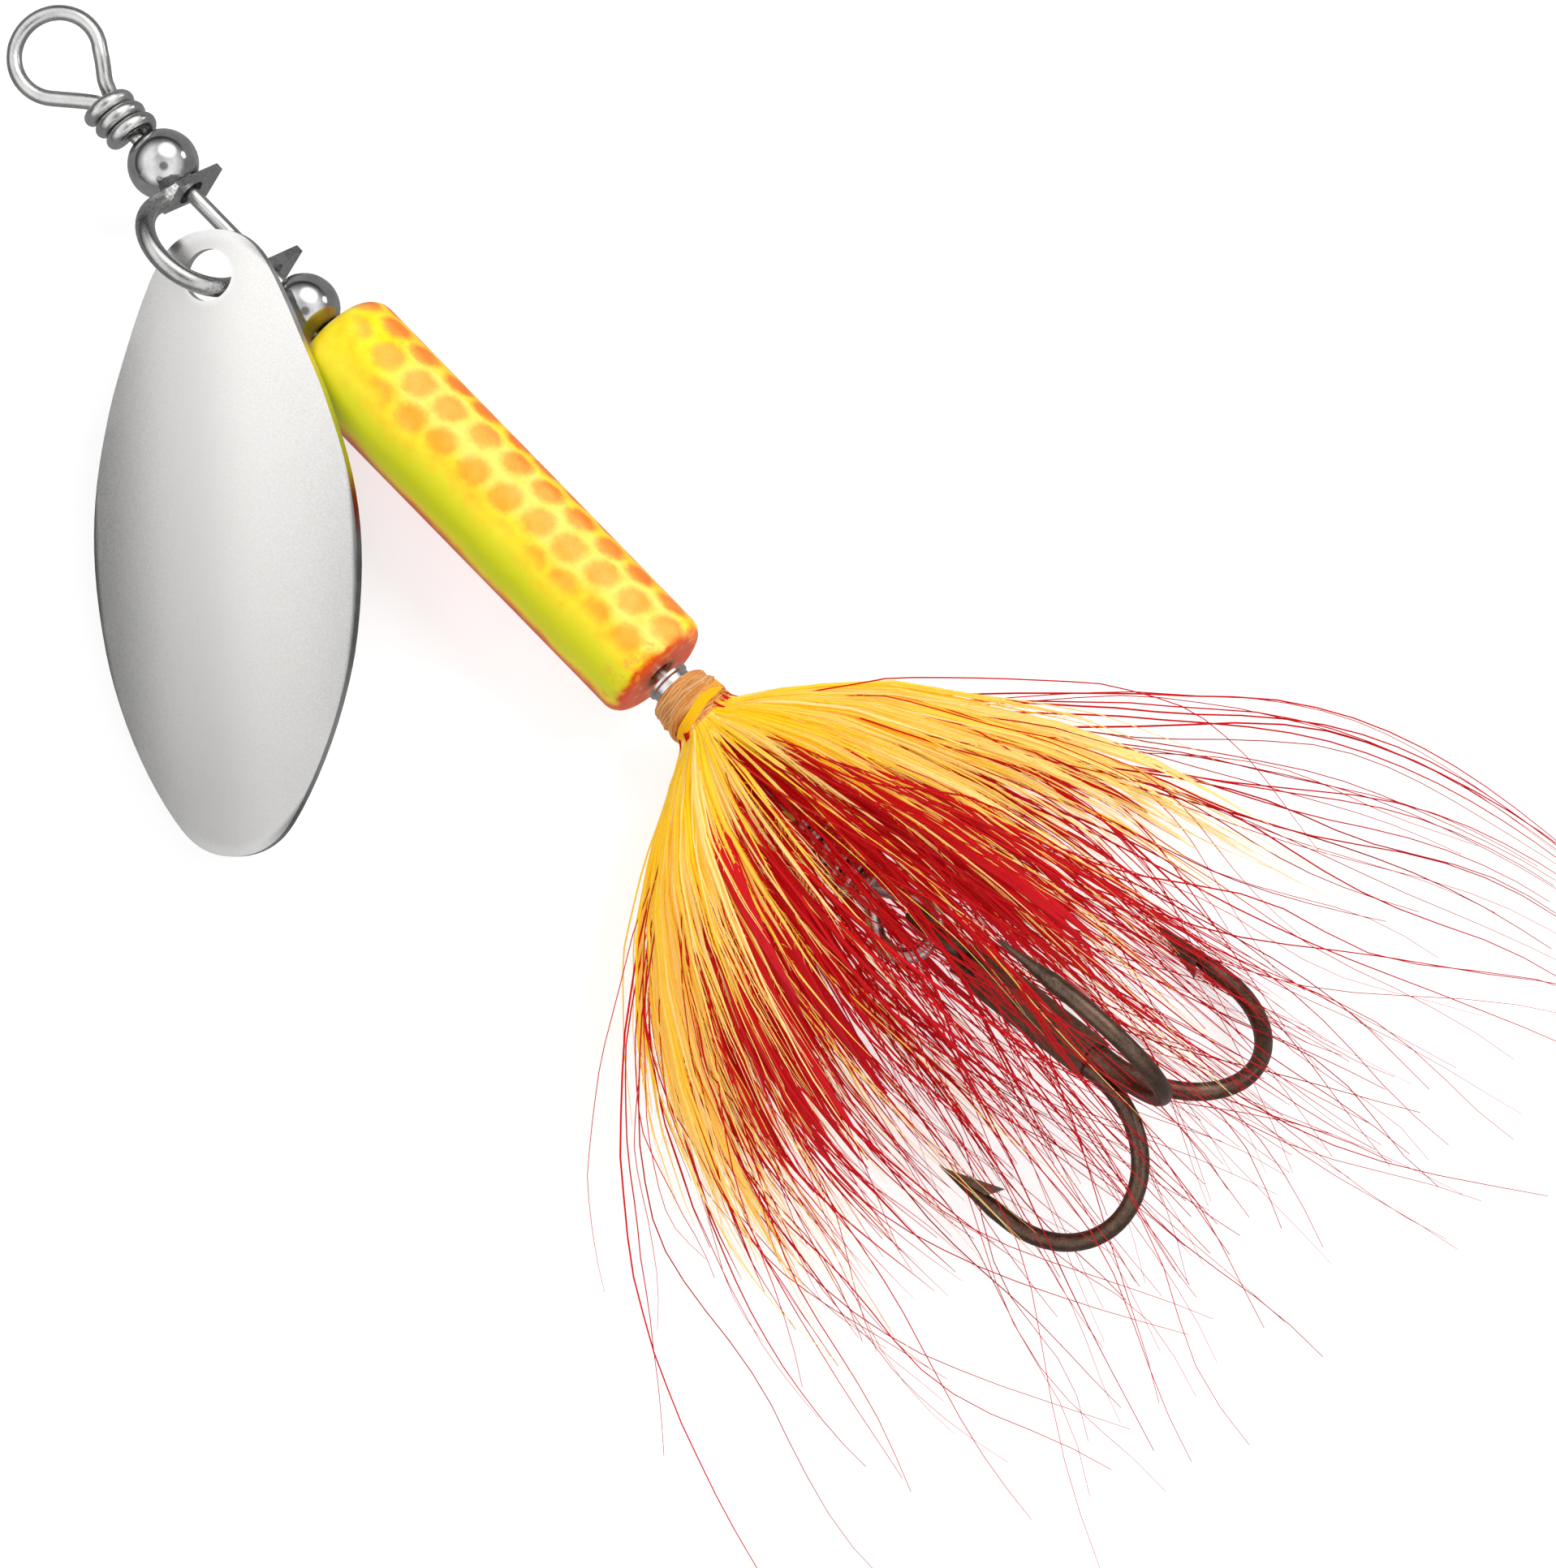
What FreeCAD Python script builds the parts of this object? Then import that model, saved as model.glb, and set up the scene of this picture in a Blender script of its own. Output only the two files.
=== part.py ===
import FreeCAD, Part
import math
import os
import Sketcher

# Inline spinner: a wire shaft carrying two beads, a blade on a clevis, a painted body and a
# feathered ferrule, with a treble hook on its rear loop.
# Frame: the shaft lies on the X axis, from the line eye at the origin towards the hook (+X).
# +Z is up, away from the surface the lure lies on, and the blade hangs to the -Y side.
# Sizes are in millimetres and angles in degrees.

V = FreeCAD.Vector
X_AXIS, Y_AXIS, Z_AXIS = V(1, 0, 0), V(0, 1, 0), V(0, 0, 1)

# Driving dimensions: (alias, value).  Names ending in _x are places along the shaft.
DIMS = [
    # shaft wire: line eye and wraps, then hook loop and coil; a neck is the distance from an
    # eye's centre to the point of its teardrop
    ("wire_dia", 0.70), ("eye_rad", 1.95), ("eye_neck", 3.20),
    ("wrap_rad", 0.84), ("wrap_pitch", 0.725), ("wrap_turns", 3.05), ("wrap_start", 3.06),
    ("loop_x", 54.90), ("loop_rad", 1.30), ("loop_neck", 2.35),
    ("coil_rad", 0.76), ("coil_pitch", 0.755), ("coil_turns", 6.0), ("coil_start", 52.50),
    # beads
    ("bead_dia", 3.175), ("bead_wall", 0.28), ("bead_mouth", 1.65),
    ("bead_up_x", 7.05), ("bead_low_x", 16.35),
    # clevis: half is half the distance between its legs, reach is where the bow starts, and
    # each ear runs from ear_back on one side of the shaft to ear_front on the other
    ("clevis_wire", 0.87), ("clevis_mid_x", 11.34), ("clevis_half", 2.60), ("clevis_reach", 2.00),
    ("ear_thick", 0.38), ("ear_width", 1.75), ("ear_back", 1.65), ("ear_front", 1.30),
    ("ear_hole", 1.30), ("clevis_turn", 40.0),
    # blade: tail and head are measured from the hole, the cup radii run along and across it
    ("blade_thick", 0.45), ("blade_hole", 2.30), ("blade_tail", 25.40), ("blade_head", 2.00),
    ("blade_halfwidth", 6.37), ("cup_long", 92.0), ("cup_cross", 17.5), ("cup_mid", 12.0),
    ("blade_flare", 42.0), ("blade_pitch", 8.0), ("blade_roll", 14.0),
    ("blade_x", 12.94), ("blade_y", -2.19), ("blade_z", 3.42),
    # painted body
    ("body_x", 18.15), ("body_len", 21.20), ("body_rad_front", 2.70), ("body_rad_rear", 2.65),
    ("body_bore", 0.95), ("body_round_front", 1.00), ("body_round_rear", 0.75),
    ("body_sink", 0.12),
    # ferrule and binding (ferrule_bore is a diameter)
    ("ferrule_x", 39.80), ("ferrule_len", 4.00), ("ferrule_rad", 0.93), ("ferrule_bore", 0.92),
    ("ferrule_lip", 1.02), ("thread_x", 40.25), ("thread_len", 2.70), ("thread_rad", 1.58),
    ("thread_pocket", 1.26), ("thread_step", 0.85),
    # feathers
    ("feather_base_x", 41.20), ("feather_base_rad", 1.09), ("feather_thick", 0.20),
    ("feather_base_width", 0.32),
    # treble hook: bend and tip are distances along the shank, spread sets each shank off centre
    ("hook_wire", 0.80), ("hook_eye_rad", 1.35), ("hook_eye_off", 1.25), ("hook_shank", 10.73),
    ("hook_gap", 7.66), ("hook_bend", 4.39), ("hook_tip", 6.64), ("hook_spread", 0.47),
    ("hook_yaw", 7.1), ("hook_lift", 11.0), ("hook_roll", 8.8), ("hook_x", 55.10),
    ("hook_y", 0.50), ("braze_start", 3.90), ("braze_len", 6.30), ("braze_skin", 0.17),
]

doc = FreeCAD.newDocument("inline_spinner")
sheet = doc.addObject("Spreadsheet::Sheet", "dims")
for row, (alias, size) in enumerate(DIMS, 1):
    sheet.set("A%d" % row, alias)
    sheet.set("B%d" % row, "%g" % size)
    sheet.setAlias("B%d" % row, alias)
doc.recompute()

pieces = []


# ---------------------------------------------------------------- document helpers
def dim(alias):
    return float(sheet.get(alias))


def keep(obj, label):
    """Label an object and list it for export."""
    obj.Label = label
    pieces.append(obj)


def keep_shape(label, shape, placement=None):
    obj = doc.addObject("Part::Feature", label)
    obj.Shape = shape
    if placement:
        obj.Placement = placement
    keep(obj, label)


def bind(obj, **expressions):
    for prop, text in expressions.items():
        obj.setExpression(prop, text)
    return obj


def evaluate(text):
    """Value of a spaced expression such as 'dims.a / 2 + dims.b * 2', without brackets."""
    words = ["+"] + text.split()
    total = term = 0.0
    for operator, word in zip(words[::2], words[1::2]):
        number = dim(word[len("dims."):]) if word.startswith("dims.") else float(word)
        if operator == "*":
            term *= number
        elif operator == "/":
            term /= number
        else:
            total += term
            term = number if operator == "+" else -number
    return total + term


def new_sketch(body, name, role="XY_Plane"):
    sketch = body.newObject("Sketcher::SketchObject", name)
    plane = next(f for f in body.Origin.OriginFeatures if f.Role == role)
    sketch.AttachmentSupport = [(plane, "")]
    sketch.MapMode = "FlatFace"
    return sketch


def constrain(sketch, *arguments, driver=None):
    """Add a constraint, driven by an expression where one is given."""
    index = sketch.addConstraint(Sketcher.Constraint(*arguments))
    if driver:
        sketch.setExpression("Constraints[%d]" % index, driver)


def polygon(sketch, corners):
    """A closed polygon whose corners are (x expression, y expression), bound to the sheet."""
    points = [V(evaluate(x), evaluate(y), 0) for x, y in corners]
    count = len(points)
    lines = [sketch.addGeometry(Part.LineSegment(points[i], points[(i + 1) % count]), False)
             for i in range(count)]
    for i in range(count):
        constrain(sketch, "Coincident", lines[i], 2, lines[(i + 1) % count], 1)
    for line, point, (x, y) in zip(lines, points, corners):
        constrain(sketch, "DistanceX", -1, 1, line, 1, point.x, driver=x)
        constrain(sketch, "DistanceY", -1, 1, line, 1, point.y, driver=y)


def closed_polygon(points):
    return Part.makePolygon(points + [points[0]])


# ---------------------------------------------------------------- wire helpers
# A full circle as a rational quadratic: the poles lie on the square round it.
CIRCLE_POLES = [(1, 0), (1, 1), (0, 1), (-1, 1), (-1, 0), (-1, -1), (0, -1), (1, -1), (1, 0)]
CIRCLE_KNOTS, CIRCLE_MULTS = [0.0, 1.0, 2.0, 3.0, 4.0], [3, 2, 2, 2, 3]
CUT_EVERY, SHORTEST_CUT = 10, 4     # stations in one face of a tube


def line_tangents(points):
    last = len(points) - 1
    tangents = []
    for i in range(last + 1):
        along = points[min(i + 1, last)] - points[max(i - 1, 0)]
        if 0 < i < last:
            before, after = points[i] - points[i - 1], points[i + 1] - points[i]
            along = before * (1.0 / before.Length) + after * (1.0 / after.Length)
        along.normalize()
        tangents.append(along)
    return tangents


def tube_skin(points, tangents, radii, params):
    """One smooth surface through circles that follow the line without twisting."""
    u = tangents[0].cross(V(0.13, 0.31, 0.94))
    u.normalize()
    lines = [[] for _ in CIRCLE_POLES]
    for point, tangent, radius in zip(points, tangents, radii):
        u = u - tangent * u.dot(tangent)
        u.normalize()
        v = tangent.cross(u)
        for line, (a, b) in zip(lines, CIRCLE_POLES):
            line.append(point + u * (a * radius) + v * (b * radius))
    columns = []
    for line in lines:
        curve = Part.BSplineCurve()
        curve.interpolate(Points=line, Parameters=params)
        columns.append(curve)
    poles = [list(row) for row in zip(*[curve.getPoles() for curve in columns])]
    weights = [[math.sqrt(0.5) if j % 2 else 1.0 for j in range(9)] for _ in poles]
    skin = Part.BSplineSurface()
    skin.buildFromPolesMultsKnots(
        poles, columns[0].getMultiplicities(), CIRCLE_MULTS, columns[0].getKnots(),
        CIRCLE_KNOTS, False, False, columns[0].Degree, 2, weights)
    return skin


def end_cap(face, end):
    """A flat disc on the closed edge of the face that lies nearest to the end point."""
    def distance(edge):
        middle = (edge.FirstParameter + edge.LastParameter) / 2.0
        return ((edge.valueAt(edge.FirstParameter) - end).Length
                + (edge.valueAt(middle) - end).Length)

    rim = min((e for e in face.Edges if e.isClosed()), key=distance)
    return Part.Face(Part.Wire([rim]))


def tube(points, radii, first_dir=None, last_dir=None):
    """A solid round wire along a dense line of points, with one radius for each point."""
    tangents = line_tangents(points)
    if first_dir is not None:
        tangents[0] = first_dir
    if last_dir is not None:
        tangents[-1] = last_dir
    params = [0.0]
    for a, b in zip(points, points[1:]):
        params.append(params[-1] + (b - a).Length)
    skin = tube_skin(points, tangents, radii, params)

    # The surface is cut crosswise into short lengths that share their end circles.
    last = len(points) - 1
    cuts = list(range(0, last, CUT_EVERY))
    if last - cuts[-1] < SHORTEST_CUT:
        cuts.pop()
    cuts.append(last)
    faces = []
    for i, j in zip(cuts, cuts[1:]):
        piece = skin.copy()
        piece.segment(params[i], params[j], CIRCLE_KNOTS[0], CIRCLE_KNOTS[-1])
        faces.append(Part.Face(piece))
    caps = [end_cap(faces[0], points[0]), end_cap(faces[-1], points[-1])]
    shell = Part.makeShell(faces + caps)
    shell.sewShape()
    solid = Part.makeSolid(shell if shell.ShapeType == "Shell" else shell.Shells[0])
    if solid.Volume < 0:
        solid.reverse()
    if not solid.isValid():
        solid.fix(1e-6, 1e-6, 1e-6)
    return solid


def stretch(a, b, first=0.25):
    """Points strictly between a and b on a straight run, close together near both ends."""
    length = (b - a).Length
    near, distance = [], first
    while distance < length / 2:
        near.append(distance)
        distance *= 1.9
    marks = near + [length - mark for mark in reversed(near)]
    return [a + (b - a) * (mark / length) for mark in marks]


def even(points, step):
    """Evenly spaced points on a smooth curve through the given ones."""
    curve = Part.BSplineCurve()
    curve.interpolate(Points=points)
    total = curve.length()
    count = max(2, int(round(total / step)))
    return [curve.value(curve.parameterAtDistance(total * k / count, curve.FirstParameter))
            for k in range(count + 1)]


# ---------------------------------------------------------------- shaft wire
# One wire: cut end, wraps, line eye, straight shaft, hook loop, coil, cut end.
EYE_STEPS = 22
TURN_STEPS = 14         # points in each turn of a wrap or coil
TURN_SHIFT = 0.10       # shift along X at the start of a coil, fading over its first points


def eye_ring(rad, neck, centre_x, side):
    """Round part of a teardrop eye. With side 1 its neck is towards +X and it runs from the
    -Y side to the +Y side; side -1 turns it half round."""
    beta = math.acos(rad / neck)
    angles = [beta + (2 * math.pi - 2 * beta) * k / EYE_STEPS for k in range(EYE_STEPS + 1)]
    return [V(centre_x + side * rad * math.cos(a), -side * rad * math.sin(a), 0) for a in angles]


def coil(prefix, start_angle, side, fade):
    """Helix round the shaft, advancing towards +X for side 1 and -X for side -1."""
    turns, radius = dim(prefix + "_turns"), dim(prefix + "_rad")
    count = int(turns * TURN_STEPS)
    points = []
    for k in range(count + 1):
        angle = math.radians(start_angle + 360 * turns * k / count)
        advance = dim(prefix + "_pitch") * turns * k / count - TURN_SHIFT * math.exp(-k / fade)
        points.append(V(dim(prefix + "_start") + side * advance,
                        radius * math.sin(angle), radius * math.cos(angle)))
    return points


def line_eye_points():
    """From the cut end of the wraps, round the line eye and on to the straight shaft."""
    neck = dim("eye_neck")
    ring = eye_ring(dim("eye_rad"), neck, 0, 1)
    lead = [V(4.9, 0, 0), V(4.2, 0, 0), V(3.6, -0.02, 0.01), V(3.15, -0.10, 0.02)]
    for f in (0.3, 0.65):
        lead.append(V(neck - 0.30, -0.16, 0.03) * (1 - f) + ring[0] * f)
    under_shaft = [V(1.78, 1.14, -0.14), V(2.36, 0.68, -0.47)]
    wraps = coil("wrap", start_angle=-200, side=1, fade=3.0)
    points = lead + ring + under_shaft + wraps
    points.reverse()
    return points


def hook_loop_points():
    """From the straight shaft round the hook loop and along the coil to its cut end."""
    loop_x, neck = dim("loop_x"), dim("loop_neck")
    neck_x = loop_x - neck
    ring = eye_ring(dim("loop_rad"), neck, loop_x, -1)
    lead = [V(neck_x - 1.6, 0, 0), V(neck_x - 0.95, 0, 0), V(neck_x - 0.35, 0.03, -0.015),
            V(neck_x + 0.12, 0.18, -0.05), (V(neck_x, 0.10, -0.05) + ring[0]) * 0.5]
    over_shaft = []
    for f in (0.33, 0.66):
        point = ring[-1] * (1 - f) + V(neck_x, 0, 0) * f
        over_shaft.append(V(point.x, point.y, dim("coil_rad") * f * 1.15))
    return lead + ring + over_shaft + coil("coil", start_angle=-28, side=-1, fade=4.0)


def make_shaft():
    front = even(line_eye_points(), 0.24)
    rear = even(hook_loop_points(), 0.22)
    points = front + stretch(front[-1], rear[0]) + rear
    keep_shape("shaft_wire", tube(points, [dim("wire_dia") / 2] * len(points)))


# ---------------------------------------------------------------- beads
def make_bead(name, x_alias):
    """A hollow bead: outer ball, inner void and a mouth at each end."""
    outer = bind(doc.addObject("Part::Sphere", name + "_ball"), Radius="dims.bead_dia / 2")
    inner = bind(doc.addObject("Part::Sphere", name + "_void"),
                 Radius="dims.bead_dia / 2 - dims.bead_wall")
    mouth = bind(doc.addObject("Part::Cylinder", name + "_mouth"),
                 Radius="dims.bead_mouth / 2", Height="dims.bead_dia * 2")
    mouth.Placement = FreeCAD.Placement(V(-dim("bead_dia"), 0, 0), FreeCAD.Rotation(Y_AXIS, 90))
    hollow = doc.addObject("Part::MultiFuse", name + "_hollow")
    hollow.Shapes = [inner, mouth]
    cut = doc.addObject("Part::Cut", name)
    cut.Base, cut.Tool = outer, hollow
    cut.setExpression("Placement.Base.x", "dims." + x_alias)
    keep(cut, name)


# ---------------------------------------------------------------- clevis
# A round wire bent to a U, its two ends hammered flat into ears and pierced for the shaft.
# It is built with its reach along +Z and then turned about the shaft.
LEG_STUB = 0.15         # straight wire at each end of the bow
EAR_SHIFT = 0.04        # the ears stand this much outside the legs
TAPER_OVERLAP = 0.05    # start of the taper inside the ear, and its end short of the reach
TAPER_RINGS, RING_POINTS = 6, 24
ROUND_FROM = 0.2        # rings closer than this to the reach are elliptical
ROUND_POWER, FLAT_POWER = 2.0, 4.5      # superellipse exponents


def clevis_bow():
    mid, half, reach = dim("clevis_mid_x"), dim("clevis_half"), dim("clevis_reach")
    start, left = V(mid - half, 0, reach - LEG_STUB), V(mid - half, 0, reach)
    right, end = V(mid + half, 0, reach), V(mid + half, 0, reach - LEG_STUB)
    path = Part.Wire([
        Part.LineSegment(start, left).toShape(),
        Part.Arc(left, V(mid, 0, reach + half), right).toShape(),
        Part.LineSegment(right, end).toShape(),
    ])
    ring = Part.Wire([Part.makeCircle(dim("clevis_wire") / 2, start, Z_AXIS)])
    return path.makePipeShell([ring], True, False)


def taper_ring(x, z, half_x, half_y):
    """Superellipse across Z: squarish near the ear, elliptical near the wire."""
    power = ROUND_POWER if z > dim("clevis_reach") - ROUND_FROM else FLAT_POWER
    points = []
    for k in range(RING_POINTS):
        angle = 2 * math.pi * k / RING_POINTS
        c, s = math.cos(angle), math.sin(angle)
        points.append(V(x + half_x * math.copysign(abs(c) ** (2 / power), c),
                        half_y * math.copysign(abs(s) ** (2 / power), s), z))
    return closed_polygon(points)


def clevis_ear(side):
    """Flat ear and its taper into the wire; side is +1 at the hook end."""
    thick, width = dim("ear_thick"), dim("ear_width")
    back, front = dim("ear_back"), dim("ear_front")
    leg_x = dim("clevis_mid_x") + side * dim("clevis_half")
    ear_x = leg_x + side * EAR_SHIFT
    wire_rad = dim("clevis_wire") / 2
    plate = Part.makeBox(thick, width, back + front, V(ear_x - thick / 2, -width / 2, -back))
    low, high = front - TAPER_OVERLAP, dim("clevis_reach") - TAPER_OVERLAP
    rings = []
    for k in range(TAPER_RINGS):
        f = k / (TAPER_RINGS - 1)
        ease = f * f * (3 - 2 * f)
        rings.append(taper_ring(
            x=ear_x * (1 - ease) + leg_x * ease,
            z=low + (high - low) * f,
            half_x=(thick / 2) * (1 - ease) + wire_rad * ease,
            half_y=(width / 2) * (1 - ease) + wire_rad * ease))
    return plate.fuse(Part.makeLoft(rings, True, True))


def make_clevis():
    bore_length = 12
    bore = Part.makeCylinder(dim("ear_hole") / 2, bore_length,
                             V(dim("clevis_mid_x") - bore_length / 2, 0, 0), X_AXIS)
    shape = clevis_bow().fuse([clevis_ear(-1), clevis_ear(1)]).removeSplitter().cut(bore)
    keep_shape("clevis", shape.Solids[0],
               FreeCAD.Placement(V(0, 0, 0), FreeCAD.Rotation(X_AXIS, dim("clevis_turn"))))


# ---------------------------------------------------------------- blade
# Built flat in its own frame: origin at the hole, +X to the tail, +Z the outer (convex) face.
# A padded outline is cut back to a cupped sheet by two grooves turned about an axis under it.

# Half outline ahead of the hole: (x as a fraction of blade_head, y of blade_halfwidth)
HEAD_OUTLINE = [(-1.0, 0.0), (-0.955, 0.135), (-0.80, 0.255), (-0.50, 0.360)]
# Half outline from the hole to the tail: (x in mm, y as a fraction of blade_halfwidth);
# x is scaled so that the last point falls at blade_tail
TAIL_OUTLINE = [
    (0.0, 0.46), (1.0, 0.535), (2.0, 0.603), (3.0, 0.665), (4.0, 0.728), (5.0, 0.788),
    (6.5, 0.862), (8.0, 0.925), (10.0, 0.981), (12.3, 1.0), (14.0, 0.985), (15.25, 0.962),
    (17.0, 0.913), (18.7, 0.838), (20.4, 0.738), (22.1, 0.610), (23.8, 0.446), (24.7, 0.322),
    (25.2, 0.185), (25.4, 0.0),
]
BLANK_THICK = 9
CUTTER_X0, CUTTER_X1 = -6.0, 30.0               # ends of the cutters, beyond the blade
CUTTER_ABOVE, CUTTER_BELOW = 6.0, -12.0         # far edges of the outer and inner cutters


def blade_blank(blade):
    half_width = dim("blade_halfwidth")
    scale = dim("blade_tail") / TAIL_OUTLINE[-1][0]
    side = [V(dim("blade_head") * x, half_width * y, 0) for x, y in HEAD_OUTLINE]
    side += [V(scale * x, half_width * y, 0) for x, y in TAIL_OUTLINE]
    curve = Part.BSplineCurve()
    curve.interpolate(Points=side + [V(p.x, -p.y, 0) for p in reversed(side[1:-1])],
                      PeriodicFlag=True)
    sketch = new_sketch(blade, "blade_outline")
    sketch.addGeometry(curve, False)
    pad = blade.newObject("PartDesign::Pad", "blade_blank")
    pad.Profile = sketch
    pad.Length = BLANK_THICK
    pad.Midplane = True
    doc.recompute()
    return pad


def cup_groove(blade, name, arc_rad, rad_driver, far):
    """Cut away all between an arc along the blade and the level far, turned about the axis."""
    sketch = new_sketch(blade, name, "XZ_Plane")
    long_rad, mid_x, cross_rad = dim("cup_long"), dim("cup_mid"), dim("cup_cross")

    def arc_end(x):
        rise = math.sqrt(arc_rad ** 2 - (x - mid_x) ** 2)
        return V(x, rise - long_rad, 0), math.atan2(rise, x - mid_x)

    (near0, angle0), (near1, angle1) = arc_end(CUTTER_X0), arc_end(CUTTER_X1)
    far0, far1 = V(CUTTER_X0, far, 0), V(CUTTER_X1, far, 0)
    circle = Part.Circle(V(mid_x, -long_rad, 0), Z_AXIS, arc_rad)
    arc = sketch.addGeometry(Part.ArcOfCircle(circle, angle1, angle0), False)
    end0 = sketch.addGeometry(Part.LineSegment(near0, far0), False)
    edge = sketch.addGeometry(Part.LineSegment(far0, far1), False)
    end1 = sketch.addGeometry(Part.LineSegment(far1, near1), False)
    constrain(sketch, "Coincident", arc, 2, end0, 1)
    constrain(sketch, "Coincident", end0, 2, edge, 1)
    constrain(sketch, "Coincident", edge, 2, end1, 1)
    constrain(sketch, "Coincident", end1, 2, arc, 1)
    constrain(sketch, "Radius", arc, arc_rad, driver=rad_driver)
    constrain(sketch, "DistanceX", -1, 1, arc, 3, mid_x, driver="dims.cup_mid")
    constrain(sketch, "DistanceY", arc, 3, -1, 1, long_rad, driver="dims.cup_long")
    constrain(sketch, "DistanceX", edge, 1, -1, 1, -CUTTER_X0)
    constrain(sketch, "DistanceX", -1, 1, edge, 2, CUTTER_X1)
    constrain(sketch, "Vertical", end0)
    constrain(sketch, "Vertical", end1)
    constrain(sketch, "Horizontal", edge)
    if far > 0:
        constrain(sketch, "DistanceY", -1, 1, edge, 1, far)
    else:
        constrain(sketch, "DistanceY", edge, 1, -1, 1, -far)

    # the turning axis, under the blade and along it
    axis_line = Part.LineSegment(V(0, -cross_rad, 0), V(10, -cross_rad, 0))
    axis = sketch.addGeometry(axis_line, True)
    constrain(sketch, "Horizontal", axis)
    constrain(sketch, "DistanceY", axis, 1, -1, 1, cross_rad, driver="dims.cup_cross")
    constrain(sketch, "DistanceX", -1, 1, axis, 2, 10.0)
    constrain(sketch, "DistanceX", -1, 1, axis, 1, 0.0)
    groove = blade.newObject("PartDesign::Groove", name + "_cut")
    groove.Profile = sketch
    groove.ReferenceAxis = (sketch, ["Axis0"])
    groove.Angle = 360
    doc.recompute()
    return groove


def blade_hole(blade):
    sketch = new_sketch(blade, "blade_hole_circle")
    diameter = dim("blade_hole")
    circle = sketch.addGeometry(Part.Circle(V(0, 0, 0), Z_AXIS, diameter / 2), False)
    constrain(sketch, "Coincident", circle, 3, -1, 1)
    constrain(sketch, "Diameter", circle, diameter, driver="dims.blade_hole")
    pocket = blade.newObject("PartDesign::Pocket", "blade_hole")
    pocket.Profile = sketch
    pocket.Type = 1     # through all
    pocket.Midplane = True
    doc.recompute()
    return pocket


def make_blade():
    blade = doc.addObject("PartDesign::Body", "blade")
    long_rad = dim("cup_long")
    steps = [
        blade_blank(blade),
        cup_groove(blade, "blade_outer", long_rad, "dims.cup_long", CUTTER_ABOVE),
        cup_groove(blade, "blade_inner", long_rad - dim("blade_thick"),
                   "dims.cup_long - dims.blade_thick", CUTTER_BELOW),
        blade_hole(blade),
    ]
    # A cut that misses leaves a valid shape, so the volumes are compared.
    blank, outer, inner, pierced = [step.Shape.Volume for step in steps]
    if not blank > outer * 1.05 > inner * 1.10:
        raise SystemExit("the blade grooves cut nothing: %g %g %g" % (blank, outer, inner))
    if pierced > inner - 0.5:
        raise SystemExit("the blade hole cut nothing")

    # Pose on the clevis: rolled about its length, tail pitched down, then flared towards -Y.
    pose = FreeCAD.Rotation(Z_AXIS, -dim("blade_flare"))
    pose = pose.multiply(FreeCAD.Rotation(Y_AXIS, dim("blade_pitch")))
    pose = pose.multiply(FreeCAD.Rotation(X_AXIS, dim("blade_roll")))
    blade.Placement = FreeCAD.Placement(V(dim("blade_x"), dim("blade_y"), dim("blade_z")), pose)
    keep(blade, "blade")


# ---------------------------------------------------------------- turned parts
# Half sections: corners as (x expression, radius expression).
BODY_END = "dims.body_x + dims.body_len"
BODY_SECTION = [
    ("dims.body_x + dims.body_sink", "dims.body_bore / 2"),
    ("dims.body_x", "dims.body_bore / 2 + dims.body_sink"),
    ("dims.body_x", "dims.body_rad_front"),
    (BODY_END, "dims.body_rad_rear"),
    (BODY_END, "dims.body_bore / 2 + dims.body_sink * 2"),
    (BODY_END + " - dims.body_sink", "dims.body_bore / 2"),
]
# (x expression of the rim, alias of its fillet radius)
BODY_ROUNDS = [("dims.body_x", "body_round_front"), (BODY_END, "body_round_rear")]
RIM_MIN_RAD = 2     # leaves out the circles at the bore

FERRULE_END = "dims.ferrule_x + dims.ferrule_len"
FERRULE_SECTION = [
    ("dims.ferrule_x", "dims.ferrule_bore / 2"),
    ("dims.ferrule_x", "dims.ferrule_lip"),
    ("dims.ferrule_x + 0.12", "dims.ferrule_lip"),
    ("dims.ferrule_x + 0.2", "dims.ferrule_rad"),
    (FERRULE_END, "dims.ferrule_rad"),
    (FERRULE_END, "dims.ferrule_bore / 2"),
]

# The binding has a pocket in its rear end for the roots of the feathers.
THREAD_END = "dims.thread_x + dims.thread_len"
THREAD_SECTION = [
    ("dims.thread_x", "dims.ferrule_rad + 0.02"),
    ("dims.thread_x", "dims.thread_rad - 0.22"),
    ("dims.thread_x + 0.25", "dims.thread_rad - 0.05"),
    ("dims.thread_x + 0.8", "dims.thread_rad"),
    ("dims.thread_x + 1.5", "dims.thread_rad - 0.05"),
    ("dims.thread_x + 2.1", "dims.thread_rad - 0.14"),
    (THREAD_END, "dims.thread_rad - 0.20"),
    (THREAD_END, "dims.thread_pocket"),
    ("dims.thread_x + dims.thread_step", "dims.thread_pocket"),
    ("dims.thread_x + dims.thread_step", "dims.ferrule_rad + 0.02"),
]


def rim_edges(shape, x):
    """Names of the circular edges of the outer rim at x."""
    return ["Edge%d" % i for i, edge in enumerate(shape.Edges, 1)
            if edge.Curve.TypeId == "Part::GeomCircle"
            and abs(edge.Curve.Center.x - x) < 1e-3 and edge.Curve.Radius > RIM_MIN_RAD]


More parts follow.
